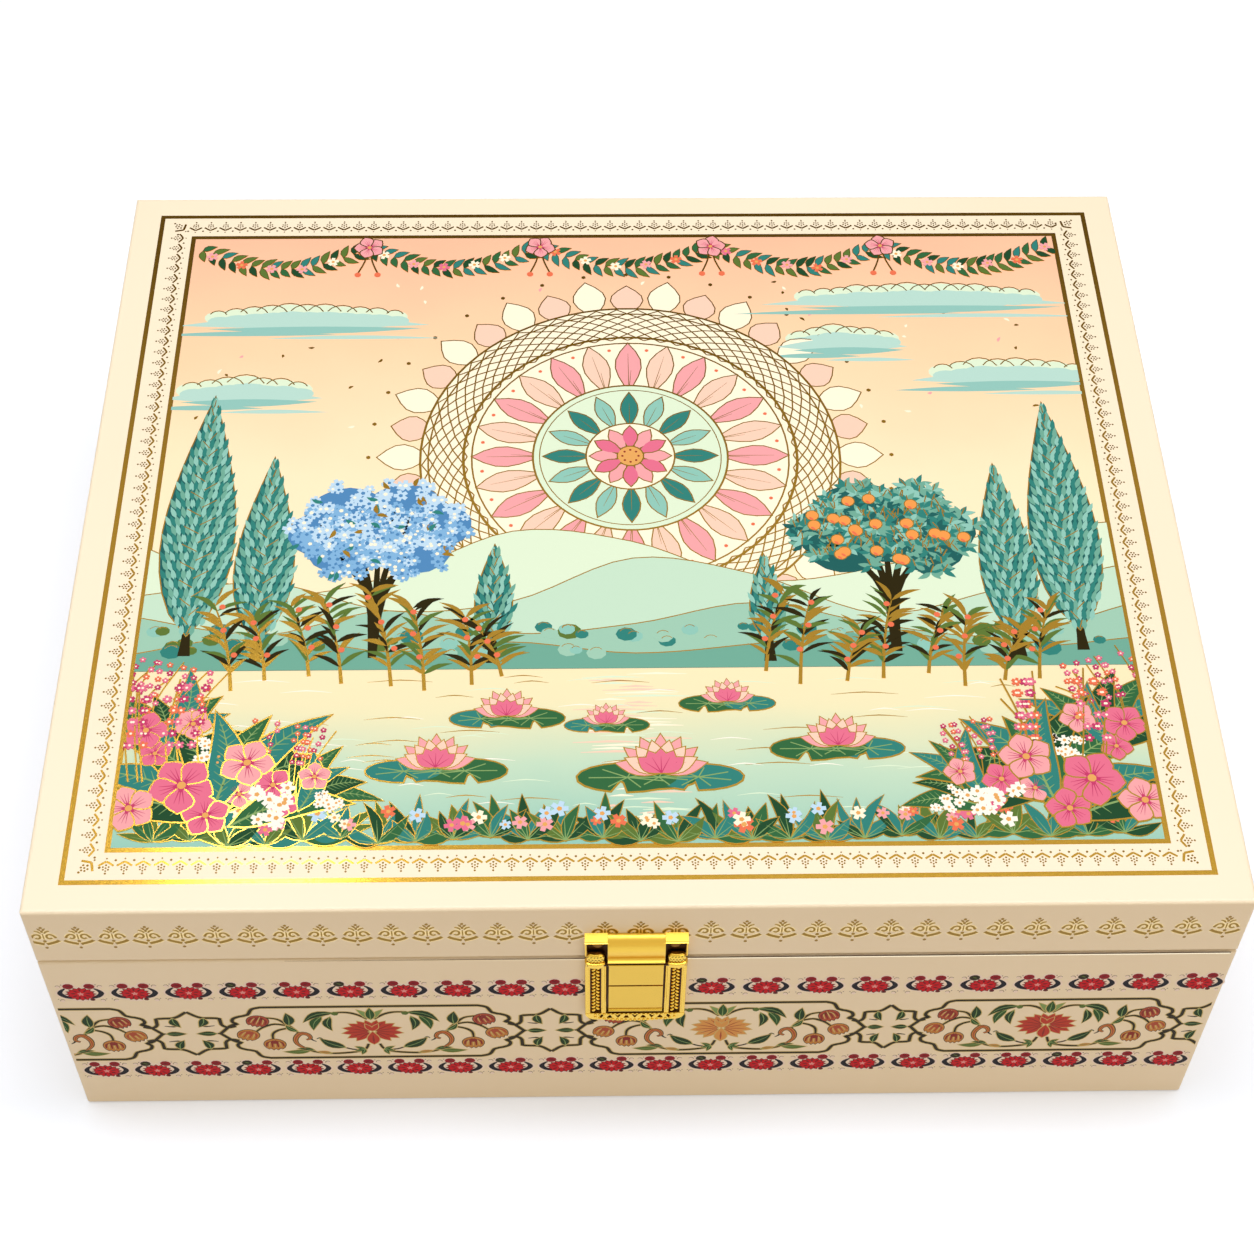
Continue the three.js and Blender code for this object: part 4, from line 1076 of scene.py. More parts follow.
def drawGarland(rng, half, drop, swags):
    # swags of leaves hung along the top, tied with flowers
    garland = []
    span = 2 * half / swags
    for k in range(swags):
        start = -half + k * span
        for i in range(17):
            t = (i + 0.5) / 17
            x, y = start + span * t, -drop * math.sin(math.pi * t)
            slope = -math.degrees(math.atan(drop * math.pi / span * math.cos(math.pi * t)))
            for side in (-1, 1):
                ink = rng.choice(("leafDark", "leaf", "teal", "moss"))
                blade = leaf(x, y, slope + side * 52, rng.uniform(4.2, 5.8), 2.0, 0.08 * side, 4)
                rimmed(garland, blade, ink, 0.2 + 0.02 * i, "foil", 0.2)
            if i % 3 == 1:
                y += rng.uniform(-1, 1)
                petal = rng.choice(("pink", "coral", "rose", "cream"))
                blossom(garland, x, y, 1.9, petal, "apricot", 1.6, 40 * i)
        if k:
            garland += placed(drawBigFlower("rose", "magenta", 4.6), start, 0.4, 20 * k, lift=3)
            for side in (-1, 1):
                ribbon = curve([(start, 0), (start + side * 1.2, -6), (start + side * 3, -11)], 3)
                stroke(garland, ribbon, 0.5, "foil", 2)
                fill(garland, oval(start + side * 3, -11.6, 1.0, count=8), "coral", 2.4)
    return garland


def gardenLeaf(drawing, x, y, degrees, length, width, bend, ink, level):
    rimmed(drawing, leaf(x, y, degrees, length, width, bend, 9), ink, level, "foil", 0.42)
    spine = midrib(x, y, degrees, length, bend, 14, 0.92)
    stroke(drawing, spine, 0.6, "leafLight", level + 0.7, (1, 0.7, 0.2))
    for i, (u, v) in enumerate(spine[1:-1]):
        reach = width * 0.42 * math.sin(math.pi * (i + 1.4) / 14.4)
        for side in (-1, 1):
            vein = [(u, v), polar(u, v, reach, degrees + side * 48)]
            stroke(drawing, vein, 0.28, "leafLight", level + 0.6, (1, 0.8, 0.3))


def drawCorner(rng):
    # broad leaves spreading from the corner, with flowers over them
    corner = []
    for i, angle in enumerate((4, 168, 22, 150, 44, 130, 66, 108, 88)):
        ink, bend = ("leafDark", "leaf", "teal")[i % 3], 0.12 if angle < 90 else -0.12
        x, y = rng.uniform(-4, 4), rng.uniform(-3, 3)
        length, width = rng.uniform(25, 35), rng.uniform(7.5, 10)
        gardenLeaf(corner, x, y, angle, length, width, bend, ink, 0.9 * i)
    flowers = ((9, 9, 7.4, "pink"), (-5, 15, 6.2, "rose"), (20, 3, 6.0, "rose"), (3, 1, 5.4, "pink"))
    for x, y, size, petal in flowers:
        corner += placed(drawBigFlower(petal, "magenta", size), x, y, rng.uniform(0, 70), lift=9)
    for i in range(16):
        angle, reach = rng.uniform(0, 360), rng.uniform(0, 6.5)
        x, y = polar(-13, 4, reach, angle)
        blossom(corner, x, y, rng.uniform(1.6, 2.2), "white", "apricot", 9 + 0.1 * i, angle)
    for i in range(7):
        x = rng.uniform(-8, 24)
        stem = [(x, 10), (x + 2, 22), (x + rng.uniform(-4, 5), rng.uniform(28, 40))]
        stroke(corner, curve(stem, 4), 0.4, "foil", 8.4)
        for k in range(6):
            middle = x + 2 + rng.uniform(-1.6, 1.6)
            petal = rng.choice(("magenta", "coral", "pink"))
            blossom(corner, middle, 20 + 3.2 * k, 1.2, petal, "cream", 8.8)
    return corner


def drawLake(rng):
    lake = []
    for i in range(120):
        x, y = rng.uniform(-126, 126), rng.uniform(-111, -58)
        reach = rng.uniform(3, 9)
        ripple = curve([(x - reach, y), (x, y + 0.7), (x + reach, y)], 3)
        stroke(lake, ripple, 0.34, rng.choice(("foil", "white", "mintPale")), 0.6, (0.2, 1, 0.2))
    return lake


def paintGarden(far, trees, near):
    rng = random.Random(22)
    halfX, halfY = topPrint["panel"]
    shore, ground = topPrint["shore"], []
    for ink, low, high in (("sky", shore, halfY), ("lake", -halfY, shore)):
        fill(ground, [(-halfX, low), (halfX, low), (halfX, high), (-halfX, high)], ink, -0.4)
    for i in range(70):
        x, y = rng.uniform(-128, 128), rng.uniform(30, 92)
        petal = leaf(x, y, rng.uniform(0, 360), rng.uniform(1.4, 2.4), 0.9, 0.1, 4)
        fill(ground, petal, rng.choice(("foil", "rose", "cream")), 0.1)
    for i in range(46):
        y = -58 - 1.05 * i
        reach = rng.uniform(4, 13) * (1 - 0.012 * i)
        x = rng.uniform(-9, 9)
        glint = [(x - reach, y), (x, y + 0.3), (x + reach, y)]
        stroke(ground, glint, 0.7, rng.choice(("cream", "blush", "mintPale")), 0.3, (0.2, 1, 0.2))
    stamp(far, ground + drawLake(rng))
    stamp(far, placed(drawSun(), 0, 20))
    for x, y, length in ((-96, 76, 58), (88, 84, 72), (-112, 46, 36), (112, 52, 44), (64, 66, 30)):
        stamp(far, placed(drawCloud(rng, length), x, y, lift=0.2))
    stamp(far, drawHills(rng))
    cypresses = ((-120, -44, 88, 20), (-101, -46, 66, 16), (120, -44, 84, 19), (103, -46, 62, 15),
                 (-38, -47, 34, 10), (36, -47, 30, 9))
    for x, y, height, width in cypresses:
        stamp(trees, placed(drawCypress(height, width), x, y, lift=14.6))
    stamp(trees, placed(drawShrub(rng, 25, 40, ("blueDeep", "blue", "bluePale"), 330), -70, -30, lift=17.6))
    stamp(trees, placed(drawFruitTree(rng, 25, 40, 170), 70, -31, lift=17.6))
    for i in range(8):
        for side in (-1, 1):
            x = side * (34 + 10.5 * i + rng.uniform(-2, 2))
            reed = drawReed(rng, rng.uniform(16, 34), side * rng.uniform(2, 8))
            stamp(trees, placed(reed, x, -57 - rng.uniform(0, 6), lift=22))
    stamp(far, placed(drawGarland(rng, halfX - 1.5, 9, 5), 0, 106.6, lift=14.6))
    lilies = ((-34, -70, 0.95), (24, -66, 0.8), (6, -88, 1.35), (52, -80, 1.1), (-52, -86, 1.15),
              (-8, -73, 0.7))
    for x, y, scale in lilies:
        stamp(near, placed(drawWaterLily(), x, y, 0, scale, x > 0, 20.4))
    for i in range(27):
        tuft, y, scale = drawTuft(rng), -109.2 + rng.uniform(0, 2), rng.uniform(0.7, 1.0)
        stamp(near, placed(tuft, -122 + 9.4 * i, y, 0, scale, i % 2 == 0, 23))
    for side in (-1, 1):
        for x, y, turn, scale in ((88, -100, 10, 0.7), (122, -84, 14, 0.8), (106, -103, 0, 1.15)):
            lift = 28 if scale > 1 else 25
            stamp(near, placed(drawCorner(rng), side * x, y, side * turn, scale, side < 0, lift))


garden = [lidSheet("lid_garden_" + part) for part in ("sky", "trees", "flowers")]
for sheet in garden:
    sheet["limit"] = topPrint["panel"][0]
paintGarden(*garden)
for sheet in garden:
    printSheet(sheet, "lid")
print("stage: garden print on the lid,", [len(sheet["faces"]) for sheet in garden], "faces")


# Hardware: pieces are modelled from blocks, drawn profiles and turned outlines, with softened edges
def onlySelect(piece):
    bpy.ops.object.select_all(action="DESELECT")
    piece.select_set(True)
    bpy.context.view_layer.objects.active = piece


def applyModifier(piece, kind, settings):
    modifier = piece.modifiers.new(kind.title(), kind)
    for key, value in settings.items():
        setattr(modifier, key, value)
    onlySelect(piece)
    bpy.ops.object.modifier_apply(modifier=modifier.name)


def soften(piece, width, segments=3, angle=35):
    applyModifier(piece, "BEVEL", {"width": width * mm, "segments": segments, "limit_method": "ANGLE",
                                   "angle_limit": math.radians(angle)})
    bpy.ops.object.shade_smooth_by_angle(angle=math.radians(40))
    applyModifier(piece, "WEIGHTED_NORMAL", {"keep_sharp": True})
    return piece


def addBlock(low, high):
    middle = [(a + b) / 2 * mm for a, b in zip(low, high)]
    bpy.ops.mesh.primitive_cube_add(size=1, location=middle)
    block = bpy.context.object
    block.scale = [(b - a) * mm for a, b in zip(low, high)]
    bpy.ops.object.transform_apply(location=True, rotation=True, scale=True)
    return block


def addProfile(points, place, run):
    # a drawn outline, put into space by place and pulled along run
    bpy.ops.mesh.primitive_circle_add(vertices=len(points), radius=1, fill_type="NGON")
    solid = bpy.context.object
    for vertex, point in zip(solid.data.vertices, points):
        vertex.co = Vector(place(*point)) * mm
    bpy.ops.object.mode_set(mode="EDIT")
    bpy.ops.mesh.select_all(action="SELECT")
    bpy.ops.mesh.extrude_region_move(TRANSFORM_OT_translate={"value": Vector(run) * mm})
    bpy.ops.mesh.select_all(action="SELECT")
    bpy.ops.mesh.normals_make_consistent(inside=False)
    bpy.ops.object.mode_set(mode="OBJECT")
    return solid


def addTurned(outline, steps, place, turn=(0, 0, 0)):
    # an outline of radius and height, turned about its axis
    mesh = bpy.data.meshes.new("outline")
    edges = [(i, i + 1) for i in range(len(outline) - 1)]
    mesh.from_pydata([(r * mm, 0, z * mm) for r, z in outline], edges, [])
    solid = bpy.data.objects.new("turned", mesh)
    bpy.context.scene.collection.objects.link(solid)
    applyModifier(solid, "SCREW", {"angle": 2 * math.pi, "steps": steps, "render_steps": steps, "axis": "Z",
                                   "use_merge_vertices": True, "merge_threshold": 1e-6})
    solid.rotation_euler = [math.radians(a) for a in turn]
    solid.location = [v * mm for v in place]
    bpy.ops.object.transform_apply(location=True, rotation=True, scale=True)
    bpy.ops.object.mode_set(mode="EDIT")
    bpy.ops.mesh.select_all(action="SELECT")
    bpy.ops.mesh.remove_doubles(threshold=1e-6)
    bpy.ops.mesh.normals_make_consistent(inside=False)
    bpy.ops.object.mode_set(mode="OBJECT")
    bpy.ops.object.shade_smooth_by_angle(angle=math.radians(35))
    return solid


def addRod(start, end, radius, sides):
    start, end = Vector(start), Vector(end)
    bpy.ops.mesh.primitive_cylinder_add(vertices=sides, radius=radius * mm, depth=(end - start).length * mm,
                                        location=(start + end) / 2 * mm)
    rod = bpy.context.object
    rod.rotation_euler = (end - start).to_track_quat("Z", "Y").to_euler()
    bpy.ops.object.transform_apply(location=True, rotation=True, scale=True)
    return rod


def addBeads(places, size, lean=0):
    # little cast lumps, half sunk in what carries them
    bpy.ops.mesh.primitive_ico_sphere_add(subdivisions=2, radius=mm)
    first = bpy.context.object
    first.scale = size
    first.rotation_euler[1] = math.radians(lean)
    beads = [first]
    for place in places[1:]:
        bead = first.copy()
        bead.data = first.data.copy()
        bpy.context.scene.collection.objects.link(bead)
        bead.location = Vector(place) * mm
        beads.append(bead)
    first.location = Vector(places[0]) * mm
    solid = joined(beads)
    bpy.ops.object.transform_apply(location=True, rotation=True, scale=True)
    bpy.ops.object.shade_smooth()
    return solid


def joined(pieces):
    bpy.ops.object.select_all(action="DESELECT")
    for piece in pieces:
        piece.select_set(True)
    bpy.context.view_layer.objects.active = pieces[0]
    bpy.ops.object.join()
    return bpy.context.object


def cutWith(piece, cutter):
    applyModifier(piece, "BOOLEAN", {"operation": "DIFFERENCE", "object": cutter, "solver": "EXACT"})
    bpy.data.objects.remove(cutter)
    return piece


def fitted(piece, name, look, body, replaced):
    piece.name = name
    piece.data.name = name
    coat(piece, look)
    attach(piece, body)
    for node in replaced:
        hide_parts(node)


# Flip latch on the front: strike on the lid, frame and lever on the base. Depth is measured out of the wall.
strikeLow, strikeHigh = boxMm("latch_strike")
latch = {
    "middle": (strikeLow[0] + strikeHigh[0]) / 2, "wall": strikeHigh[1], "plate": 0.8,
    "barDepth": 2.25, "barThickness": 1.3, "barSlope": 22, "barNose": 0.2, "barLip": 0.28, "barLap": 0.3,
    "legWidth": 0.5, "legDepth": 2.2, "legFoot": 80.3,
    "hoodHalf": 7.25, "hoodDepth": 3.45, "hoodWall": 0.95, "hoodFoot": 80.0, "hoodCurve": (3.2, 3.9),
    "hoodTuck": 0.3, "hoodBrim": 4.25, "brimRise": 0.95,
    "pilasterMiddle": 10.25, "pilasterHalf": 2.75, "pilasterDepth": 1.8, "pilasterFoot": 50.5,
    "pilasterTop": 76.9, "ridgeDepth": 2.08, "channelHalf": 1.4, "channelDepth": 1.0,
    "braid": (51.3, 74.0), "beadSize": (0.7, 0.6, 0.4), "beadPitch": 1.72, "beadLean": 36, "beadDepth": 1.2,
    "strandGap": 0.56,
    "rim": (76.5, 78.15, 2.75, 3.5), "rimCrown": 0.3, "rimTaper": 0.8,
    "cushion": (77.7, 81.2, 2.35, 2.9), "cushionCrown": 1.0, "cushionTaper": 0.72, "capitalBack": 1.1,
    "weaveRows": ((78.1, 0.0), (78.85, 0.0), (79.6, 0.0), (80.45, 0.18)), "weavePitch": 0.78,
    "weaveSize": (0.36, 0.07, 0.13), "weaveLean": 35,
    "railTop": 50.4, "railEdge": 47.5, "railShoulder": 50.2, "railHalf": 13.0, "railCorner": 3,
    "railDepth": 1.8, "railBow": 0.9, "railBeads": 19, "railBeadPitch": 1.15,
    "railBeadSize": (0.42, 0.34, 0.36),
    "piercings": 9, "piercePitch": 2.2, "pierceSize": (1.6, 1.8), "pierceHeight": 48.95,
    "leverHalf": 6.95, "leverBack": 2.0, "leverFace": 3.5, "leverTop": 77.9,
    "leverFoot": boxMm("latch_lever")[0][2] + 0.6, "lipDepth": 3.95,
    "pinHeight": 77.4, "pinDepth": 2.6, "bearing": 0.74, "groove": 67.8, "grooveSize": (0.9, 0.33),
}


def onLatch(across, depth, height):
    return (latch["middle"] + across, latch["wall"] - depth, height)


def acrossFrom(offset):
    return lambda depth, height: onLatch(offset, depth, height)


def onFront(depth):
    return lambda across, height: onLatch(across, depth, height)


def latchBlock(left, right, inner, outer, low, high):
    return addBlock(onLatch(left, outer, low), onLatch(right, inner, high))


def buildStrike():
    half, top = (strikeHigh[0] - strikeLow[0]) / 2, strikeHigh[2]
    under, nose = top - latch["barThickness"], latch["barDepth"]
    edge, lap = latch["hoodHalf"], latch["barLap"]
    # sloping bar with a lip along its foot, left and right of the hood
    bend, slope = latch["barNose"], latch["barSlope"]
    drop = (nose - bend + bend * math.sin(math.radians(slope))) * math.tan(math.radians(slope))
    shoulder = top - drop - bend * math.cos(math.radians(slope))
    lip = nose + latch["barLip"]
    ledge = [(0, under), (lip - 0.08, under), (lip, under + 0.08), (lip, under + 0.16)]
    ledge += [(nose - 0.02, under + 0.25)] + arc(nose - bend, shoulder, bend, 0, 90 - slope, 8) + [(0, top)]
    pieces = []
    for start in (-half, edge - lap):
        pieces.append(soften(addProfile(ledge, acrossFrom(start), (half - edge + lap, 0, 0)), 0.05))
    # rounded hood, drawn in towards its flared brim
    deep, tall = latch["hoodCurve"]
    front, foot, wall = latch["hoodDepth"], latch["hoodFoot"], latch["hoodWall"]
    tuck, brim, spring = latch["hoodTuck"], latch["hoodBrim"], top - tall
    turns = [math.pi / 2 * i / 12 for i in range(13)]
    shell = [(0, top)] + [(front - deep + deep * math.sin(a), spring + tall * math.cos(a)) for a in turns]
    fall = spring - foot - latch["brimRise"]
    shell += [(front - tuck * t * t, spring - fall * t) for t in (0.2, 0.4, 0.6, 0.8, 1)]
    shell += [(brim - 0.75, foot + 0.66), (brim - 0.1, foot + 0.46), (brim, foot + 0.3), (brim - 0.12, foot)]
    shell += [(front - tuck - 0.5, foot), (front - tuck - wall + 0.1, foot + 0.8)]
    shell += [(front - wall, spring - 0.5)]
    for a in turns[::-1]:
        shell.append((front - deep + (deep - wall) * math.sin(a), spring + (tall - wall) * math.cos(a)))
    shell.append((0, top - wall))
    pieces.append(soften(addProfile(shell, acrossFrom(-edge), (2 * edge, 0, 0)), 0.1, 3, 40))
    for side in (-1, 1):
        ends = sorted((side * half, side * (half - latch["legWidth"])))
        pieces.append(soften(latchBlock(*ends, 0, latch["legDepth"], latch["legFoot"], under + 0.2), 0.18))
    fitted(joined(pieces), "strike_shell", "satinGold", "lid", ["latch_strike"])
    # the plate behind the windows in dark recess metal: painted shade inside the strike
    back = soften(latchBlock(-half + 0.1, half - 0.1, 0, latch["plate"], strikeLow[2], top - 0.7), 0.15)
    fitted(back, "strike_plate", "recess", "lid", ["latch_strike"])


def bowedBlock(middle, half, inner, outer, low, high, crown, shrink):
    # block with a bowed front, such as a cushion or the moulding under it; its crown slopes in by shrink
    side = inner + 0.55 * (outer - inner)
    plan = [(middle - half, inner), (middle + half, inner)]
    for u, v in arc(0, 0, 1, 0, 180, 12):
        plan.append((middle + half * u, side + (outer - side) * v))
    block = addProfile(plan, lambda across, depth: onLatch(across, depth, low), (0, 0, high - low - crown))
    bpy.ops.object.mode_set(mode="EDIT")
    bpy.ops.mesh.select_mode(type="FACE")
    bpy.ops.mesh.select_all(action="DESELECT")
    bpy.ops.object.mode_set(mode="OBJECT")
    for face in block.data.polygons:
        face.select = face.normal.z > 0.9
    bpy.ops.object.mode_set(mode="EDIT")
    bpy.ops.mesh.extrude_region_move(TRANSFORM_OT_translate={"value": (0, 0, crown * mm)})
    pivot = Vector(onLatch(middle, inner, high)) * mm
    bpy.ops.transform.resize(value=(shrink, shrink, 1), center_override=pivot)
    bpy.ops.object.mode_set(mode="OBJECT")
    return block


def buildColumn(side):
    middle, half, hollow = side * latch["pilasterMiddle"], latch["pilasterHalf"], latch["channelHalf"]
    foot, top = latch["pilasterFoot"], latch["pilasterTop"]
    bright = []
    for edge in (-1, 1):
        reach = sorted((middle + edge * half, middle + edge * hollow))
        bright.append(soften(latchBlock(*reach, 0, latch["pilasterDepth"], foot, top), 0.24))
        ridge = sorted((middle + edge * (half - 0.5), middle + edge * (hollow + 0.35)))
        bright.append(soften(latchBlock(*ridge, 0.5, latch["ridgeDepth"], foot + 1.6, top - 0.4), 0.13))
    # the channel behind the braid in dark recess metal: painted shade between the beads
    reach = hollow + 0.1
    channel = latchBlock(middle - reach, middle + reach, 0.2, latch["channelDepth"], foot, top - 0.1)
    dark = [soften(channel, 0.1)]
    # braid of two strands of leaning beads
    start, end = latch["braid"]
    rows = int((end - start) / latch["beadPitch"])
    for way in (-1, 1):
        lumps = []
        for row in range(rows):
            height = start + (row + 0.5 + 0.25 * way) * latch["beadPitch"]
            lumps.append(onLatch(middle + latch["strandGap"] * way, latch["beadDepth"], height))
        bright.append(addBeads(lumps, latch["beadSize"], latch["beadLean"] * way))
    # capital: a moulding, and on it a cushion whose weave is in the dark recess metal, painted shade in its
    # hatching
    back = latch["capitalBack"]
    low, high, half, depth = latch["rim"]
    rim = bowedBlock(middle, half, back, depth, low, high, latch["rimCrown"], latch["rimTaper"])
    bright.append(soften(rim, 0.07))
    low, high, half, depth = latch["cushion"]
    cushion = bowedBlock(middle, half, back, depth, low, high, latch["cushionCrown"], latch["cushionTaper"])
    bright.append(soften(cushion, 0.3, 5))
    for row, (height, recess) in enumerate(latch["weaveRows"]):
        lumps = []
        for k in range(-3, 4):
            x = (k + 0.5 * (row % 2)) * latch["weavePitch"]
            if abs(x) < half - 0.3:
                bow = 0.45 * (depth - back) * (1 - math.sqrt(1 - (x / half) ** 2))
                lumps.append(onLatch(middle + x, depth - recess - bow, height))
        dark.append(addBeads(lumps, latch["weaveSize"], latch["weaveLean"] * (-1) ** row))
    return bright, dark


def buildRail():
    half, corner, depth, bow = latch["railHalf"], latch["railCorner"], latch["railDepth"], latch["railBow"]
    top, shoulder, edge = latch["railTop"], latch["railShoulder"], latch["railEdge"]
    outline = [(half, top), (-half, top), (-half, shoulder)]
    outline += arc(-half + corner, shoulder, corner, 180, 262, 6)
    span = 2 * (half - corner)
    outline += [(corner - half + span * t / 8, edge - bow * math.sin(math.pi * t / 8)) for t in range(1, 8)]
    outline += arc(half - corner, shoulder, corner, 278, 360, 6)
    rail = addProfile(outline, onFront(0), (0, -depth, 0))
    cutters = []
    wide, tall = latch["pierceSize"]
    for i in range(latch["piercings"]):
        x = (i - (latch["piercings"] - 1) / 2) * latch["piercePitch"]
        rise = tall / 2 if i % 2 else -tall / 2
        foot, tip = latch["pierceHeight"] - rise, latch["pierceHeight"] + rise
        triangle = [(x - wide / 2, foot), (x + wide / 2, foot), (x, tip)]
        cutters.append(addProfile(triangle, onFront(-0.5), (0, -3, 0)))
    rail = soften(cutWith(rail, joined(cutters)), 0.12, 2)
    beads = []
    for i in range(latch["railBeads"]):
        x = (i - (latch["railBeads"] - 1) / 2) * latch["railBeadPitch"]
        low = edge - bow * math.cos(math.pi * x / span) + 0.5 + max(0, abs(x) - 8) ** 2 * 0.12
        beads += [onLatch(x, depth, low), onLatch(x, depth, top - 0.35)]
    return [rail, addBeads(beads, latch["railBeadSize"])]


def buildFrame():
    left, leftDark = buildColumn(-1)
    right, rightDark = buildColumn(1)
    bright = joined(left + right + buildRail())
    fitted(bright, "latch_columns", "castGold", "base", ["latch_frame"])
    # plate behind the lever, with the columns' channels and weave, in dark recess metal: painted shade in the
    # gaps round the lever
    reach = latch["pilasterMiddle"]
    back = latchBlock(-reach, reach, 0, latch["plate"], latch["pilasterFoot"] + 0.2, latch["rim"][0] - 1.2)
    dark = joined([soften(back, 0.12)] + leftDark + rightDark)
    fitted(dark, "latch_back_plate", "recess", "base", ["latch_frame"])


def buildLever():
    back, face, foot, top = latch["leverBack"], latch["leverFace"], latch["leverFoot"], latch["leverTop"]
    groove, lip = latch["groove"], latch["lipDepth"]
    outline = [(back, foot), (lip - 0.15, foot), (lip, foot + 0.15), (lip, foot + 0.5), (face, foot + 0.7)]
    deep, half = latch["grooveSize"]
    outline += [(face, groove - half), (face - deep, groove - half)]
    outline += [(face - deep, groove + half), (face, groove + half)]
    outline += [(face, top - 0.15), (face - 0.15, top)]
    # the bearing hooks over the pin, open above and behind
    bearing, pinDepth, pinHeight = latch["bearing"], latch["pinDepth"], latch["pinHeight"]
    start = math.degrees(math.asin((top - pinHeight) / bearing))
    end = math.degrees(math.acos((pinDepth - back) / bearing)) - 180
    outline += arc(pinDepth, pinHeight, bearing, start, end, 14)
    lever = addProfile(outline, acrossFrom(-latch["leverHalf"]), (2 * latch["leverHalf"], 0, 0))
    fitted(soften(lever, 0.07, 3, 40), "flip_lever", "plate", "latch_lever", ["latch_lever"])


def dome(radius, rise, foot):
    return [(radius * math.sin(a), foot + rise * math.cos(a)) for a in [math.pi / 16 * i for i in range(9)]]


def addNailHead(node):
    # round-headed tack, driven through the plate
    low, high = boxMm(node)
    x, z, face = (low[0] + high[0]) / 2, (low[2] + high[2]) / 2, low[1]
    half, rise, tip = (high[0] - low[0]) / 2, 0.75, face - high[1]
    outline = dome(half, rise, -rise) + [(half * 0.42, -rise), (half * 0.4, tip + 0.6), (0, tip)]
    return addTurned(outline, 24, (x, face, z), (90, 0, 0))


buildStrike()
buildFrame()
buildLever()
# tack heads in dimmed brass: painted shade of the windows they sit in
for node in nodes:
    if "_nail_" in node:
        body = "lid" if "strike" in node else "base"
        fitted(addNailHead(node), node.replace("latch", "tack"), "shadeDimmedBrass", body, [node])
print("stage: flip latch")


# Butt hinges on the back
hinge = {"axis": (132.5, 76.3), "barrel": 2.2, "bore": 1.16, "gap": 0.3, "knuckles": 5, "thickness": 0.9,
         "edge": 1.2, "web": 2.4, "screwRise": 0.8, "slotDepth": 0.45, "slotHalf": 0.26}


def buildLeaf(node, body, odd):
    low, high = boxMm(node)
    y, z = hinge["axis"]
    inner, outer = low[1], low[1] + hinge["thickness"]
    up = 1 if body == "lid" else -1
    foot, top = sorted((z + up * hinge["edge"], high[2] if up > 0 else low[2]))
    pieces = [soften(addBlock((low[0], inner, foot), (high[0], outer, top)), 0.3)]
    # both leaves share the base leaf's knuckles by turns
    baseLow, baseHigh = boxMm(node.replace("lid", "base"))
    wide = baseHigh[0] - baseLow[0]
    start, last = (low[0] + high[0]) / 2 - wide / 2, hinge["knuckles"] - 1
    pitch, gap = wide / hinge["knuckles"], hinge["gap"] / 2
    for i in range(odd, hinge["knuckles"], 2):
        left = start + i * pitch + (gap if i > 0 else 0)
        right = start + (i + 1) * pitch - gap if i < last else start + wide
        barrel = addRod((left, y, z), (right, y, z), hinge["barrel"], 40)
        hole = addRod((left - 1, y, z), (right + 1, y, z), hinge["bore"], 32)
        foot, top = sorted((z, z + up * hinge["web"]))
        web = addBlock((left, inner, foot), (right, outer, top))
        pieces += [soften(cutWith(barrel, hole), 0.18, 2), web]
    return joined(pieces)


def addScrew(node):
    # slotted round-headed screw
    low, high = boxMm(node)
    x, z, half = (low[0] + high[0]) / 2, (low[2] + high[2]) / 2, (high[0] - low[0]) / 2
    rise, face = hinge["screwRise"], high[1]
    tip = low[1] - face + rise
    head = dome(half, rise, 0) + [(half * 0.48, -0.02), (half * 0.45, tip + 0.8), (0, tip)]
    screw = addTurned(head, 32, (x, face - rise, z), (-90, 0, 0))
    slot = hinge["slotHalf"]
    cutWith(screw, addBlock((x - 4, face - hinge["slotDepth"], z - slot), (x + 4, face + 1, z + slot)))
    return soften(screw, 0.06, 2, 50)


for side in ("left", "right"):
    for body in ("lid", "base"):
        name = "hinge_" + side + "_" + body
        plate = buildLeaf(name + "_leaf", body, body == "lid")
        fitted(plate, name + "_plate", "plate", body, [name + "_leaf"])
        for number in ("1", "2"):
            node = name + "_screw_" + number
            fitted(addScrew(node), node.replace("screw", "slotted"), "plate", body, [node])
print("stage: hinges")


# Inside: jars with their caps, standing in a tray
jar = {"radius": 41, "neck": 39.4, "bore": 36.8, "heel": 5, "innerHeel": 3.5, "shoulder": 71.5,
       "shoulderRound": 1.4, "rim": 84, "lipRound": 1.3, "floor": 4, "lugs": (77.6, 80.6), "lugDepth": 0.55}
cap = {"inner": 40.3, "outer": 41.1, "curl": 0.9, "bottom": 74.5, "top": 86.5, "edge": 1.4, "panelRim": 4,
       "panelDepth": 0.7, "button": 10, "beads": (82.6, 81.2), "beadDepth": 0.22, "under": 85.0,
       "ring": (35.8, 39.8, 84.15)}


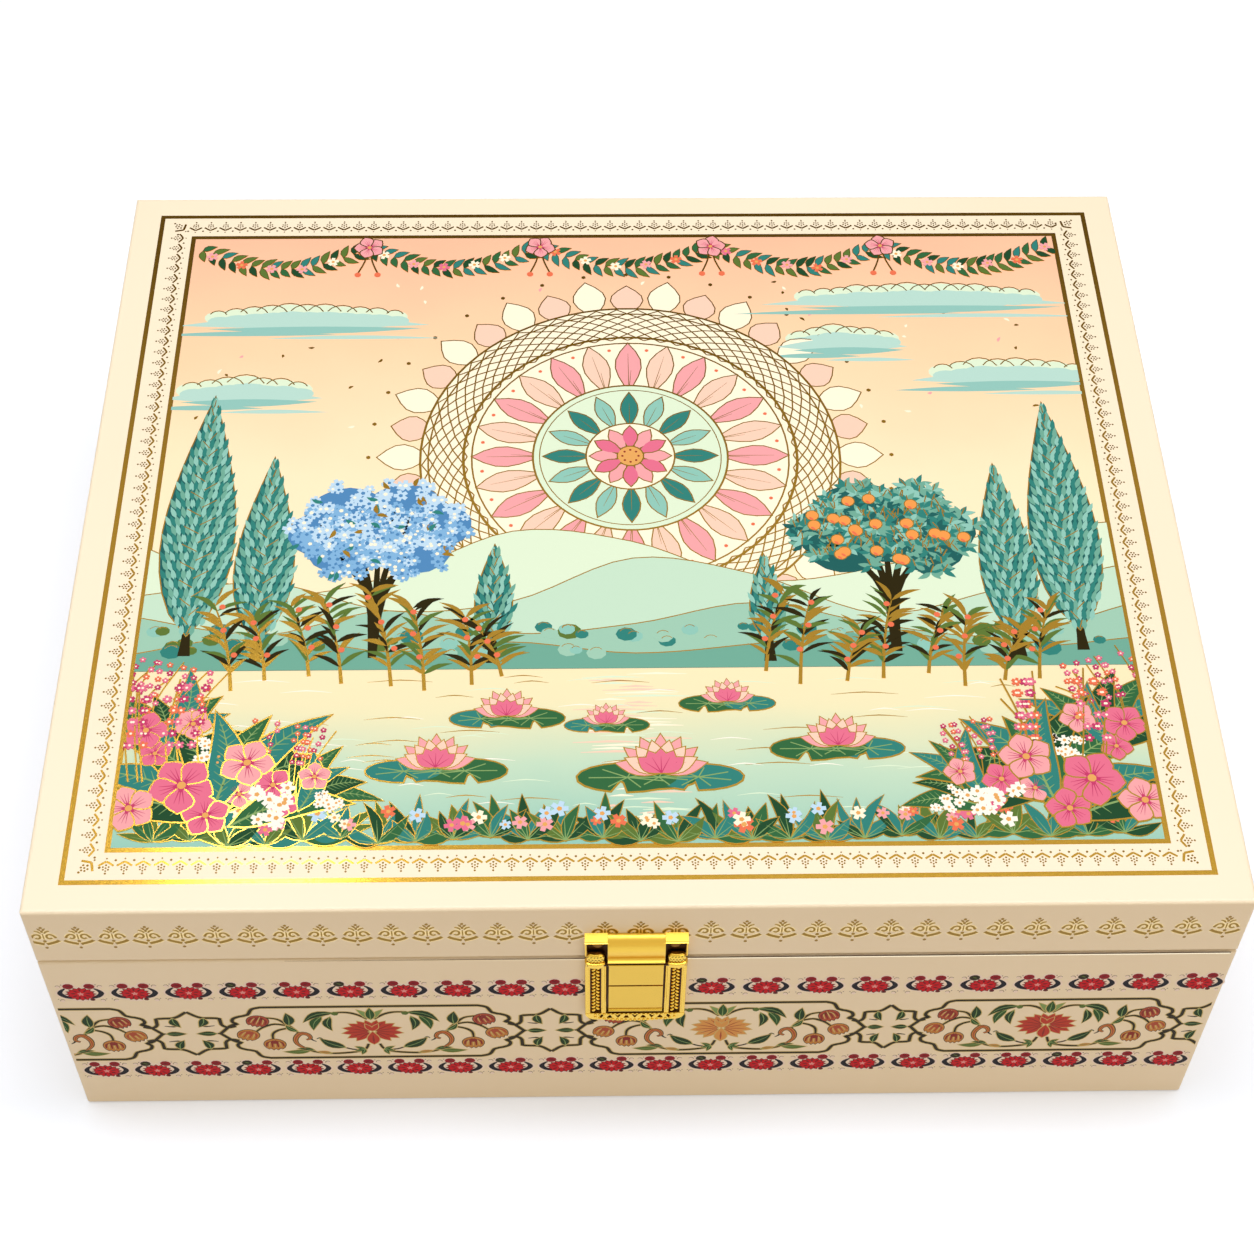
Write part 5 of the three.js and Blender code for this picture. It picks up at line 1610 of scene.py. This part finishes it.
def buildJar(node):
    low, high = boxMm(node)
    place = ((low[0] + high[0]) / 2, (low[1] + high[1]) / 2, low[2])
    r, heel, neck, shoulder = jar["radius"], jar["heel"], jar["neck"], jar["shoulder"]
    outline = [(0, 1.6), (24, 1.1), (31, 0.3)] + arc(r - heel, heel, heel, 270, 360, 6)
    bend = jar["shoulderRound"]
    outline += arc(r - bend, shoulder - bend, bend, 0, 90, 4) + [(neck, shoulder + 0.2), (neck, 76.4)]
    proud = neck + jar["lugDepth"]
    for lug in jar["lugs"]:
        outline += [(neck, lug - 0.8), (proud, lug - 0.2), (proud, lug + 0.2), (neck, lug + 0.8)]
    lip, inner, floor = jar["lipRound"], jar["innerHeel"], jar["floor"]
    outline += [(neck, 82.6)] + arc(neck - lip, jar["rim"] - lip, lip, 0, 180, 8)
    outline += arc(jar["bore"] - inner, floor + inner, inner, 360, 270, 6)
    outline += [(20, floor + 0.5), (0, floor + 1.2)]
    fitted(addTurned(outline, 72, place), "glass_" + node, "glass", "base", [node])


def buildCap(node):
    low, high = boxMm(node)
    place = ((low[0] + high[0]) / 2, (low[1] + high[1]) / 2, high[2] - cap["top"])
    outer, inner, button = cap["outer"], cap["inner"], cap["button"]
    panel, top, sunk = outer - cap["panelRim"], cap["top"], cap["top"] - cap["panelDepth"]
    outline = [(0, top - 0.15), (button - 2.5, top - 0.15), (button, sunk), (panel - 1.2, sunk)]
    outline += [(panel - 0.3, sunk + 0.25), (panel + 0.3, top - 0.12), (panel + 1.2, top)]
    outline += arc(outer - cap["edge"], top - cap["edge"], cap["edge"], 90, 0, 6)
    for bead in cap["beads"]:
        outline += [(outer, bead + 0.4), (outer - cap["beadDepth"], bead), (outer, bead - 0.4)]
    outline += arc(outer, cap["bottom"] + cap["curl"], cap["curl"], 90, -90, 8)
    under, (ringInner, ringOuter, ringFoot) = cap["under"], cap["ring"]
    outline += [(inner, cap["bottom"] + 0.3), (inner, under - 0.1), (ringOuter + 0.2, under)]
    outline += [(ringOuter, ringFoot), (ringInner, ringFoot), (ringInner - 0.1, under), (0, under)]
    fitted(addTurned(outline, 96, place), "tin_" + node, "capTin", node, [node])


def buildTray():
    low, high = boxMm("jar_tray")
    tray = addBlock(low, high)
    holes = []
    for number in range(1, 7):
        jarLow, jarHigh = boxMm("jar_%d" % number)
        x, y = (jarLow[0] + jarHigh[0]) / 2, (jarLow[1] + jarHigh[1]) / 2
        holes.append(addRod((x, y, low[2] - 5), (x, y, high[2] + 5), jar["radius"] + 1, 96))
    tray = soften(cutWith(tray, joined(holes)), 0.45, 3)
    fitted(tray, "covered_tray", "trayCard", "base", ["jar_tray"])


for number in range(1, 7):
    buildJar("jar_%d" % number)
    buildCap("jar_cap_%d" % number)
buildTray()
print("stage: jars, caps and tray")
